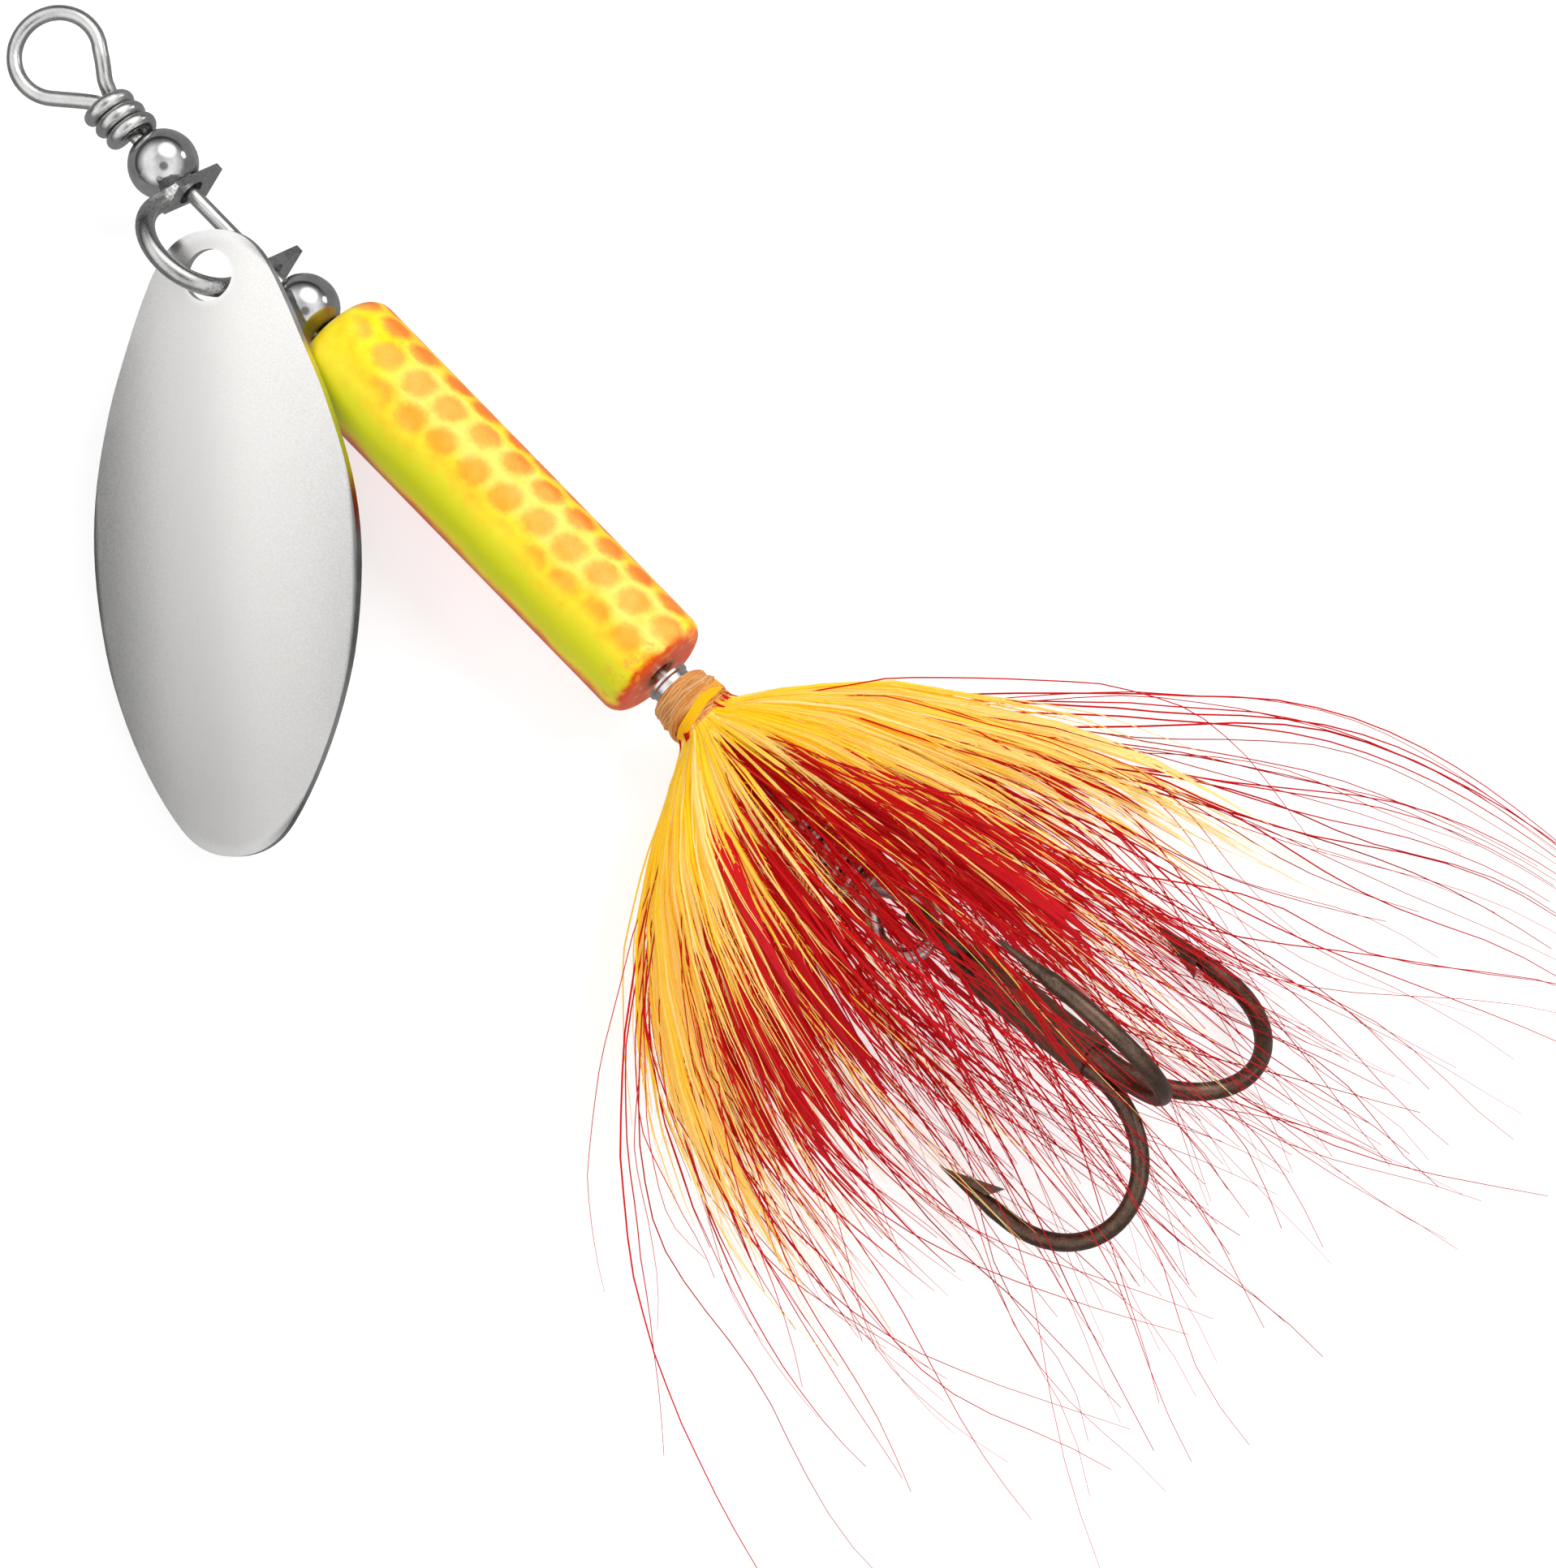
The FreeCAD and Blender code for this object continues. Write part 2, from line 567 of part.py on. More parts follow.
def make_turned(name, section, rounds=()):
    """A body turned about the X axis from a half section, its rims rounded in turn."""
    body = doc.addObject("PartDesign::Body", name)
    sketch = new_sketch(body, name + "_section")
    polygon(sketch, section)
    last = body.newObject("PartDesign::Revolution", name + "_turning")
    last.Profile = sketch
    last.ReferenceAxis = (sketch, ["H_Axis"])
    last.Angle = 360
    doc.recompute()
    for k, (rim_x, radius_alias) in enumerate(rounds, 1):
        names = rim_edges(last.Shape, evaluate(rim_x))
        fillet = body.newObject("PartDesign::Fillet", "%s_round%d" % (name, k))
        fillet.Base = (last, names)
        fillet.Radius = dim(radius_alias)
        fillet.setExpression("Radius", "dims." + radius_alias)
        doc.recompute()
        last = fillet
    body.Tip = last
    keep(body, name)


# ---------------------------------------------------------------- feathers
# Each is a thin tapering strip tied flat on the ferrule, leaving the binding and curving out
# to its own direction round the shaft.  Bearings are measured from +Y towards +Z.

# Centrelines behind the binding: (x, distance from the shaft axis)
LONG = [(42.95, 1.10), (44.2, 2.35), (46.0, 4.7), (48.5, 7.3), (52.0, 9.9), (56.0, 12.2),
        (60.5, 13.9), (66.0, 15.2), (72.0, 16.2), (76.5, 16.9)]
SHORT = [(42.95, 1.10), (44.2, 2.15), (46.0, 4.0), (48.5, 5.9), (51.5, 7.3), (55.0, 8.3),
         (58.5, 8.9)]
LOW = [(42.95, 1.10), (44.2, 1.75), (46.0, 2.5), (48.5, 3.2), (51.5, 3.8), (54.5, 4.3),
       (57.0, 4.9)]
# (label, bearing, centreline, width, scale along X, scale outwards), in order round the shaft
FEATHERS = [
    ("yellow_feather_1", 2, LONG, 2.3, 1.00, 1.00),
    ("red_feather_1", 17, LONG, 1.9, 1.07, 0.96),
    ("yellow_feather_2", 34, LONG, 2.2, 0.93, 0.97),
    ("yellow_feather_3", 62, SHORT, 2.0, 1.00, 1.08),
    ("yellow_feather_4", 90, SHORT, 2.0, 0.92, 1.00),
    ("yellow_feather_5", 118, SHORT, 2.0, 1.00, 1.08),
    ("yellow_feather_6", 146, LONG, 2.2, 0.93, 0.97),
    ("red_feather_2", 163, LONG, 1.9, 1.07, 0.96),
    ("yellow_feather_7", 178, LONG, 2.3, 1.00, 1.06),
    ("red_feather_3", 191, LONG, 1.9, 0.98, 1.00),
    ("red_feather_4", 226, LOW, 1.6, 1.00, 0.80),
    ("yellow_feather_8", 270, LOW, 1.6, 1.00, 0.62),
    ("red_feather_5", 314, LOW, 1.6, 1.00, 0.80),
    ("red_feather_6", 349, LONG, 1.9, 0.98, 0.96),
]
# Cross-section corners: (fraction of half the width, fraction of half the thickness)
FEATHER_SECTION = [(-1, -0.35), (-0.35, -1), (0.35, -1), (1, -0.35),
                   (1, 0.35), (0.35, 1), (-0.35, 1), (-1, 0.35)]
FIRST_BEARING = 4.0         # bearing of the first root; the roots are evenly spaced
FLAT_END_X = 42.2           # the root lies flat up to here
STATION_SHIFT = 0.001       # added to each station's index before it becomes a fraction
TURN_RATE = 2.2             # the bearing is reached at 1 / 2.2 of the stations
WIDEN_RATE = 4              # full width is reached at a quarter of them
TAPER_FROM, TAPER_LOSS = 0.55, 0.80     # where the tip starts to narrow, and by how much
ROOM_SHARE, ROOM_GAP = 0.80, 0.06       # part of the room between neighbours that is used


def feather_course(root_bearing, bearing, centreline, scale_x, scale_out):
    """Stations (x, radius, fraction, bearing) along one feather."""
    base_rad = dim("feather_base_rad")
    stations = [(x, base_rad, 0.0, root_bearing) for x in (dim("feather_base_x"), FLAT_END_X)]
    leave_x = centreline[0][0]
    for k, (x, radius) in enumerate(centreline):
        f = (k + STATION_SHIFT) / (len(centreline) - 1)
        turn = min(1.0, f * TURN_RATE)
        stations.append((leave_x + (x - leave_x) * scale_x,
                         base_rad + (radius - base_rad) * scale_out, f,
                         root_bearing + (bearing - root_bearing) * turn * turn * (3 - 2 * turn)))
    return stations


def bearing_at(stations, x):
    for p, q in zip(stations, stations[1:]):
        if x <= q[0]:
            f = max(0.0, (x - p[0]) / (q[0] - p[0]))
            return p[3] + (q[3] - p[3]) * f
    return stations[-1][3]


def feather_width(station, neighbours, full_width):
    x, radius, f, bearing = station
    root_width = dim("feather_base_width")
    taper = 1 - TAPER_LOSS * max(0.0, (f - TAPER_FROM) / (1 - TAPER_FROM))
    width = root_width + (full_width - root_width) * min(1.0, f * WIDEN_RATE) * taper
    # never wider than the room left by the feathers on either side
    room = min(abs((bearing - bearing_at(other, x) + 180) % 360 - 180) for other in neighbours)
    return min(width, ROOM_SHARE * math.radians(room) * radius - ROOM_GAP)


def make_feather(label, stations, neighbours, full_width):
    half_thick = dim("feather_thick") / 2
    rings = []
    for k, station in enumerate(stations):
        x, radius, _, bearing = station
        half_width = feather_width(station, neighbours, full_width) / 2
        slope = 0.0
        if k > 0:
            j = min(k, len(stations) - 2)
            before, after = stations[j - 1], stations[j + 1]
            slope = math.atan2(after[1] - before[1], after[0] - before[0])
        angle = math.radians(bearing)
        outward = V(0, math.cos(angle), math.sin(angle))
        across = V(0, -math.sin(angle), math.cos(angle))
        normal = V(-math.sin(slope), 0, 0) + outward * math.cos(slope)
        centre = V(x, 0, 0) + outward * radius
        rings.append(closed_polygon([
            centre + across * (half_width * u) + normal * (half_thick * v)
            for u, v in FEATHER_SECTION]))
    shape = Part.makeLoft(rings, True, True)
    if shape.Volume < 0:
        shape.reverse()
    keep_shape(label, shape)


def make_feathers():
    count = len(FEATHERS)
    courses = [
        feather_course(360.0 * k / count + FIRST_BEARING, bearing, centreline, scale_x, scale_out)
        for k, (_, bearing, centreline, _, scale_x, scale_out) in enumerate(FEATHERS)]
    for k, (label, _, _, width, _, _) in enumerate(FEATHERS):
        make_feather(label, courses[k], (courses[k - 1], courses[(k + 1) % count]), width)


# ---------------------------------------------------------------- treble hook
# Local frame: origin by the wire loop it hangs on, +X along the shank.  Hook angles are
# measured from +Z towards +Y; the single hook is bent up towards +Z.
SINGLE, DOUBLE = 0, (120, -120)
BEND_STEPS, POINT_STEPS = 26, 10
POINT_BACK = 0.9        # the ground point starts this far ahead of the shank's end
POINT_RAD = 0.03
BARB_THICK = 0.26
# Barb corners: (distance behind the tip, offset from the point's centreline away from the shank)
BARB = [(0.25, -0.01), (3.15, -0.98), (2.62, -0.30), (2.5, -0.05)]
EYE_OVERLAP = 0.05      # the double hook's shanks start this far inside the eye's centreline
SINGLE_GAP = 0.35       # clearance from the eye to the single hook's shank
CHANNEL_GAP = 0.012     # clearance between a shank and the braze


def hook_outward(angle_deg):
    angle = math.radians(angle_deg + dim("hook_roll"))
    return V(0, math.sin(angle), math.cos(angle))


def hook_solid(angle_deg, start_x):
    wire_rad, spread = dim("hook_wire") / 2, dim("hook_spread")
    shank, gap, tip_x = dim("hook_shank"), dim("hook_gap"), dim("hook_tip")
    outward = hook_outward(angle_deg)

    def at(x, offset):
        return V(x, 0, 0) + outward * (offset + spread)

    bend = []
    for k in range(BEND_STEPS + 1):
        t = math.pi * k / BEND_STEPS
        bend.append(at(shank + dim("hook_bend") * math.sin(t), gap / 2 * (1 - math.cos(t))))
    start, point_x = at(start_x, 0), shank - POINT_BACK
    point_start = at(point_x, gap)
    line = [start] + stretch(start, bend[0], 0.45) + bend
    line += stretch(bend[-1], point_start, 0.2) + [point_start]
    radii = [wire_rad] * len(line)
    # the ground point: a long cone, with the barb raised from the side facing the shank
    for k in range(1, POINT_STEPS + 1):
        f = k / POINT_STEPS
        line.append(at(point_x - (point_x - tip_x) * f, gap))
        radii.append(wire_rad + (POINT_RAD - wire_rad) * f)
    wire = tube(line, radii, X_AXIS, -X_AXIS)
    across = V(0, outward.z, -outward.y)
    corners = [at(tip_x + x, gap + offset) - across * (BARB_THICK / 2) for x, offset in BARB]
    barb = Part.Face(closed_polygon(corners)).extrude(across * BARB_THICK)
    return wire.fuse(barb)


def braze_sleeve():
    """A skin round the three shanks, with a clearance channel for each."""
    wire_rad, length = dim("hook_wire") / 2, dim("braze_len")
    lobes, channels, centres = [], [], []
    for angle_deg in (SINGLE,) + DOUBLE:
        centre = V(dim("braze_start"), 0, 0) + hook_outward(angle_deg) * dim("hook_spread")
        lobes.append(Part.makeCylinder(wire_rad + dim("braze_skin"), length, centre, X_AXIS))
        channels.append(Part.makeCylinder(wire_rad + CHANNEL_GAP, length + 2,
                                          centre - X_AXIS, X_AXIS))
        centres.append(centre)
    core = Part.Face(closed_polygon(centres)).extrude(V(length, 0, 0))
    sleeve = lobes[0].fuse(lobes[1:] + [core]).removeSplitter()
    sleeve = sleeve.cut(channels[0].fuse(channels[1:]))
    # only the largest solid is kept
    return max(sleeve.Solids, key=lambda solid: solid.Volume)


def make_treble():
    wire_rad, eye_rad, eye_x = dim("hook_wire") / 2, dim("hook_eye_rad"), dim("hook_eye_off")
    turn = FreeCAD.Rotation(Z_AXIS, dim("hook_yaw"))
    turn = turn.multiply(FreeCAD.Rotation(Y_AXIS, -dim("hook_lift")))
    pose = FreeCAD.Placement(V(dim("hook_x"), dim("hook_y"), 0), turn)

    eye = Part.makeTorus(eye_rad, wire_rad, V(eye_x, 0, 0), Y_AXIS)
    first, second = [hook_solid(angle, eye_x + eye_rad - EYE_OVERLAP) for angle in DOUBLE]
    keep_shape("double_hook", first.fuse([second, eye]).removeSplitter(), pose)
    single_start = eye_x + eye_rad + wire_rad + SINGLE_GAP
    keep_shape("single_hook", hook_solid(SINGLE, single_start), pose)
    keep_shape("shank_braze", braze_sleeve(), pose)


# ---------------------------------------------------------------- checks and files
def check_document():
    bad = ["%s is %s" % (obj.Name, obj.State) for obj in doc.Objects
           if "Invalid" in obj.State or "Error" in obj.State]
    for obj in pieces:
        shape = obj.Shape
        if shape.isNull() or not shape.isValid() or shape.Volume <= 0:
            bad.append("%s has no valid shape" % obj.Label)
        elif len(shape.Solids) != 1:
            bad.append("%s has %d solids" % (obj.Label, len(shape.Solids)))
    if bad:
        raise SystemExit("\n".join(bad))


make_shaft()
make_bead("upper_bead", "bead_up_x")
make_bead("lower_bead", "bead_low_x")
make_clevis()
make_blade()
make_turned("body", BODY_SECTION, BODY_ROUNDS)
make_turned("ferrule", FERRULE_SECTION)
make_turned("thread_wrap", THREAD_SECTION)
make_feathers()
make_treble()
doc.recompute()
check_document()
os.makedirs("parts", exist_ok=True)
for piece in pieces:
    piece.Shape.exportStep("parts/%s.step" % piece.Label)
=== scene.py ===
"""Inline spinner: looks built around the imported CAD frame."""
import math

import bpy
import numpy as np
from mathutils import Matrix, Vector
from mathutils.bvhtree import BVHTree


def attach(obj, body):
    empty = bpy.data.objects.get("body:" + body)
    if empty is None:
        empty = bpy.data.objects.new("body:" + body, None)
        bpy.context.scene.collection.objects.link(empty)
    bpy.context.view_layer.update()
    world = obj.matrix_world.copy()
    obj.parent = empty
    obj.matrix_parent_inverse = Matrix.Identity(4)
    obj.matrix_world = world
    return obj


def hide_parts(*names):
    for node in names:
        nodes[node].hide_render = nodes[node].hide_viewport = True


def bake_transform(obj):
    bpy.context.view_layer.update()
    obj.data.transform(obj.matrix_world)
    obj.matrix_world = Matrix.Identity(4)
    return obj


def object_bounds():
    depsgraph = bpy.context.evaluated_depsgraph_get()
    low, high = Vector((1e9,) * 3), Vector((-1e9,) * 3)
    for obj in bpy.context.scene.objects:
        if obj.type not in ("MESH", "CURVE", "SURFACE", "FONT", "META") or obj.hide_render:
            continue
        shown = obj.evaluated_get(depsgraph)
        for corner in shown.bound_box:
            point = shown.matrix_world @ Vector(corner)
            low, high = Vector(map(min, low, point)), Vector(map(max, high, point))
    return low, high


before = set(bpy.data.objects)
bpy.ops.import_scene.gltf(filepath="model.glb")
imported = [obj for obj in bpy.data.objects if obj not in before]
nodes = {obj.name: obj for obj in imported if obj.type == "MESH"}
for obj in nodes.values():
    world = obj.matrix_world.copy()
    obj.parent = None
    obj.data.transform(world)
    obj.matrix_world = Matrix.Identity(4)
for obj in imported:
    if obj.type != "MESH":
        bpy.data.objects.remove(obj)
cad_lo, cad_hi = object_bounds()
scene = bpy.context.scene
MM = 0.001
rng = np.random.default_rng(20240611)
FLOOR_Z = cad_lo[2] - 0.00012


# ------------------------------------------------------------------ node helpers
class Mat:
    """A small wrapper for building node trees."""

    def __init__(self, name):
        self.mat = bpy.data.materials.new(name)
        self.mat.use_nodes = True
        self.nt = self.mat.node_tree
        self.nt.nodes.clear()
        self.out = self.nt.nodes.new("ShaderNodeOutputMaterial")
        self.bsdf = self.nt.nodes.new("ShaderNodeBsdfPrincipled")
        self.nt.links.new(self.bsdf.outputs[0], self.out.inputs[0])
        self._coord = None

    def link(self, a, b):
        self.nt.links.new(a, b)

    def _in(self, socket, value):
        if value is None:
            return
        if hasattr(value, "is_linked") or isinstance(value, bpy.types.NodeSocket):
            self.nt.links.new(value, socket)
        else:
            socket.default_value = value

    def node(self, kind, **props):
        n = self.nt.nodes.new(kind)
        for k, v in props.items():
            setattr(n, k, v)
        return n

    def coord(self):
        if self._coord is None:
            self._coord = self.node("ShaderNodeTexCoord").outputs["Object"]
        return self._coord

    def math(self, op, a, b=None, c=None, clamp=False):
        n = self.node("ShaderNodeMath", operation=op, use_clamp=clamp)
        self._in(n.inputs[0], a)
        if b is not None:
            self._in(n.inputs[1], b)
        if c is not None:
            self._in(n.inputs[2], c)
        return n.outputs[0]

    def vmath(self, op, a, b=None, scale=None):
        n = self.node("ShaderNodeVectorMath", operation=op)
        self._in(n.inputs[0], a)
        if b is not None:
            self._in(n.inputs[1], b)
        if scale is not None:
            self._in(n.inputs["Scale"], scale)
        return n.outputs["Value"] if op in ("LENGTH", "DOT_PRODUCT", "DISTANCE") else n.outputs[0]

    def sep(self, v):
        n = self.node("ShaderNodeSeparateXYZ")
        self._in(n.inputs[0], v)
        return n.outputs

    def comb(self, x=0.0, y=0.0, z=0.0):
        n = self.node("ShaderNodeCombineXYZ")
        for i, v in enumerate((x, y, z)):
            self._in(n.inputs[i], v)
        return n.outputs[0]

    def scale(self, v, k):
        """A vector times a number or a 3-tuple."""
        if isinstance(k, (tuple, list)):
            return self.vmath("MULTIPLY", v, tuple(k))
        return self.vmath("SCALE", v, None, k)

    def noise(self, vec, scale=1.0, detail=3.0, rough=0.55, distortion=0.0, out=0, dims="3D", w=None):
        n = self.node("ShaderNodeTexNoise", noise_dimensions=dims)
        if vec is not None:
            self._in(n.inputs["Vector"], vec)
        if w is not None:
            self._in(n.inputs["W"], w)
        n.inputs["Scale"].default_value = scale
        n.inputs["Detail"].default_value = detail
        n.inputs["Roughness"].default_value = rough
        n.inputs["Distortion"].default_value = distortion
        return n.outputs[out]

    def voronoi(self, vec, scale=1.0, feature="F1", out="Distance", rand=1.0):
        n = self.node("ShaderNodeTexVoronoi", feature=feature)
        self._in(n.inputs["Vector"], vec)
        n.inputs["Scale"].default_value = scale
        n.inputs["Randomness"].default_value = rand
        return n.outputs[out]

    def white(self, vec):
        n = self.node("ShaderNodeTexWhiteNoise", noise_dimensions="3D")
        self._in(n.inputs["Vector"], vec)
        return n.outputs["Value"]

    def ramp(self, fac, stops, interp="LINEAR"):
        n = self.node("ShaderNodeValToRGB")
        self._in(n.inputs[0], fac)
        cr = n.color_ramp
        cr.interpolation = interp
        while len(cr.elements) > 1:
            cr.elements.remove(cr.elements[-1])
        cr.elements[0].position = stops[0][0]
        cr.elements[0].color = tuple(stops[0][1]) + (1.0,) if len(stops[0][1]) == 3 else stops[0][1]
        for p, c in stops[1:]:
            e = cr.elements.new(p)
            e.color = tuple(c) + (1.0,) if len(c) == 3 else c
        return n.outputs[0]

    def smooth(self, v, a, b, lo=0.0, hi=1.0):
        n = self.node("ShaderNodeMapRange", interpolation_type="SMOOTHSTEP")
        self._in(n.inputs["Value"], v)
        n.inputs["From Min"].default_value = a
        n.inputs["From Max"].default_value = b
        n.inputs["To Min"].default_value = lo
        n.inputs["To Max"].default_value = hi
        return n.outputs[0]

    def lin(self, v, a, b, lo=0.0, hi=1.0):
        n = self.node("ShaderNodeMapRange", interpolation_type="LINEAR", clamp=True)
        self._in(n.inputs["Value"], v)
        n.inputs["From Min"].default_value = a
        n.inputs["From Max"].default_value = b
        n.inputs["To Min"].default_value = lo
        n.inputs["To Max"].default_value = hi
        return n.outputs[0]

    def mix(self, fac, a, b, mode="MIX"):
        n = self.node("ShaderNodeMix", data_type="RGBA", blend_type=mode)
        self._in(n.inputs["Factor"], fac)
        for key, v in (("A", a), ("B", b)):
            s = [i for i in n.inputs if i.name == key and i.type == "RGBA"][0]
            if isinstance(v, (tuple, list)):
                v = tuple(v) + (1.0,) if len(v) == 3 else tuple(v)
            self._in(s, v)
        return [o for o in n.outputs if o.type == "RGBA"][0]

    def mixf(self, fac, a, b):
        n = self.node("ShaderNodeMix", data_type="FLOAT")
        self._in(n.inputs["Factor"], fac)
        s = [i for i in n.inputs if i.type == "VALUE" and i.name in ("A", "B")]
        self._in(s[0], a)
        self._in(s[1], b)
        return [o for o in n.outputs if o.type == "VALUE"][0]

    def attr(self, name):
        return self.node("ShaderNodeAttribute", attribute_name=name).outputs["Fac"]

    def bump(self, height, strength=0.2, distance=0.0001, normal=None):
        n = self.node("ShaderNodeBump")
        self._in(n.inputs["Height"], height)
        n.inputs["Strength"].default_value = strength
        n.inputs["Distance"].default_value = distance
        if normal is not None:
            self._in(n.inputs["Normal"], normal)
        return n.outputs[0]

    def set(self, **kw):
        names = {"color": "Base Color", "metallic": "Metallic", "rough": "Roughness", "normal": "Normal",
                 "coat": "Coat Weight", "coat_rough": "Coat Roughness", "spec": "Specular IOR Level",
                 "sheen": "Sheen Weight", "sheen_rough": "Sheen Roughness", "aniso": "Anisotropic",
                 "sss": "Subsurface Weight", "sss_scale": "Subsurface Scale", "sss_radius": "Subsurface Radius",
                 "coat_normal": "Coat Normal", "transmission": "Transmission Weight", "alpha": "Alpha",
                 "emit": "Emission Color", "emit_strength": "Emission Strength", "tangent": "Tangent", "ior": "IOR"}
        for k, v in kw.items():
            s = self.bsdf.inputs[names[k]]
            if isinstance(v, (tuple, list)) and k in ("color", "emit") and len(v) == 3:
                v = tuple(v) + (1.0,)
            self._in(s, v)
        return self


def srgb(r, g, b):
    def f(c):
        c = c / 255.0
        return c / 12.92 if c <= 0.04045 else ((c + 0.055) / 1.055) ** 2.4
    return (f(r), f(g), f(b))


def assign(node_name, material):
    ob = nodes[node_name]
    if ob.data.materials:
        for i in range(len(ob.data.materials)):
            ob.data.materials[i] = material
    else:
        ob.data.materials.append(material)
    for s in ob.material_slots:
        s.material = material


# ------------------------------------------------------------------ metal materials
def mat_wire():
    m = Mat("stainless_wire")
    p = m.scale(m.coord(), 1000.0)
    grain = m.noise(m.scale(p, (1.2, 14.0, 14.0)), 1.0, 4.0, 0.6)
    fine = m.noise(p, 26.0, 3.0, 0.6)
    smudge = m.noise(p, 0.9, 2.0, 0.5)
    col = m.ramp(m.mixf(0.5, grain, smudge), [(0.25, srgb(172, 172, 172)), (0.75, srgb(222, 221, 219))])
    rough = m.lin(m.mixf(0.5, fine, smudge), 0.3, 0.7, 0.17, 0.34)
    nrm = m.bump(m.mixf(0.4, grain, fine), 0.22, 0.00002)
    m.set(color=col, metallic=1.0, rough=rough, normal=nrm)
    return m.mat


def mat_bead(cx_mm):
    m = Mat("nickel_bead_%d" % round(cx_mm))
    p = m.scale(m.coord(), 1000.0)
    q = m.vmath("SUBTRACT", p, (cx_mm, 0.0, 0.0))
    x, y, z = m.sep(q)
    rad = m.math("SQRT", m.math("ADD", m.math("MULTIPLY", y, y), m.math("MULTIPLY", z, z)))
    fine = m.noise(p, 22.0, 4.0, 0.65)
    cloud = m.noise(p, 1.3, 2.0, 0.5)
    # painted shade in and round the bead's two mouths, where it meets the parts beside it; the mouths are also rougher
    mouth_shade_mask = m.smooth(rad, 1.02, 0.74)
    col = m.ramp(cloud, [(0.3, srgb(176, 176, 178)), (0.7, srgb(214, 213, 212))])
    col = m.mix(m.math("MULTIPLY", mouth_shade_mask, 0.65), col, srgb(60, 60, 62))
    rough = m.math("ADD", m.lin(fine, 0.3, 0.75, 0.05, 0.14), m.math("MULTIPLY", mouth_shade_mask, 0.22))
    nrm = m.bump(m.mixf(0.3, fine, cloud), 0.10, 0.00002)
    m.set(color=col, metallic=1.0, rough=rough, normal=nrm)
    return m.mat


def mat_clevis():
    m = Mat("clevis_steel")
    p = m.scale(m.coord(), 1000.0)
    fine = m.noise(p, 18.0, 4.0, 0.6)
    cloud = m.noise(p, 1.1, 2.0, 0.5)
    x = m.sep(p)[0]
    # the stamped ears carry press marks
    ear = m.math("MAXIMUM", m.smooth(m.math("ABSOLUTE", m.math("SUBTRACT", x, 8.74)), 0.55, 0.32),
                 m.smooth(m.math("ABSOLUTE", m.math("SUBTRACT", x, 13.94)), 0.55, 0.32))
    pits = m.voronoi(m.scale(p, (1.0, 1.0, 1.0)), 5.5)
    ridges = m.noise(m.scale(p, (7.0, 2.2, 2.2)), 1.6, 3.0, 0.6)
    mark = m.math("MULTIPLY", ear, m.math("ADD", m.math("MULTIPLY", pits, 0.8), m.math("MULTIPLY", ridges, 0.7)))
    h = m.math("ADD", m.math("MULTIPLY", fine, 0.18), mark)
    col = m.ramp(m.mixf(0.5, cloud, fine), [(0.25, srgb(138, 138, 139)), (0.75, srgb(206, 205, 203))])
    col = m.mix(m.math("MULTIPLY", ear, m.smooth(pits, 0.42, 0.1, 0.0, 0.5)), col, srgb(70, 70, 72))
    rough = m.math("ADD", m.lin(fine, 0.3, 0.7, 0.13, 0.26), m.math("MULTIPLY", ear, 0.12))
    m.set(color=col, metallic=1.0, rough=rough, normal=m.bump(h, 0.35, 0.00006))
    return m.mat


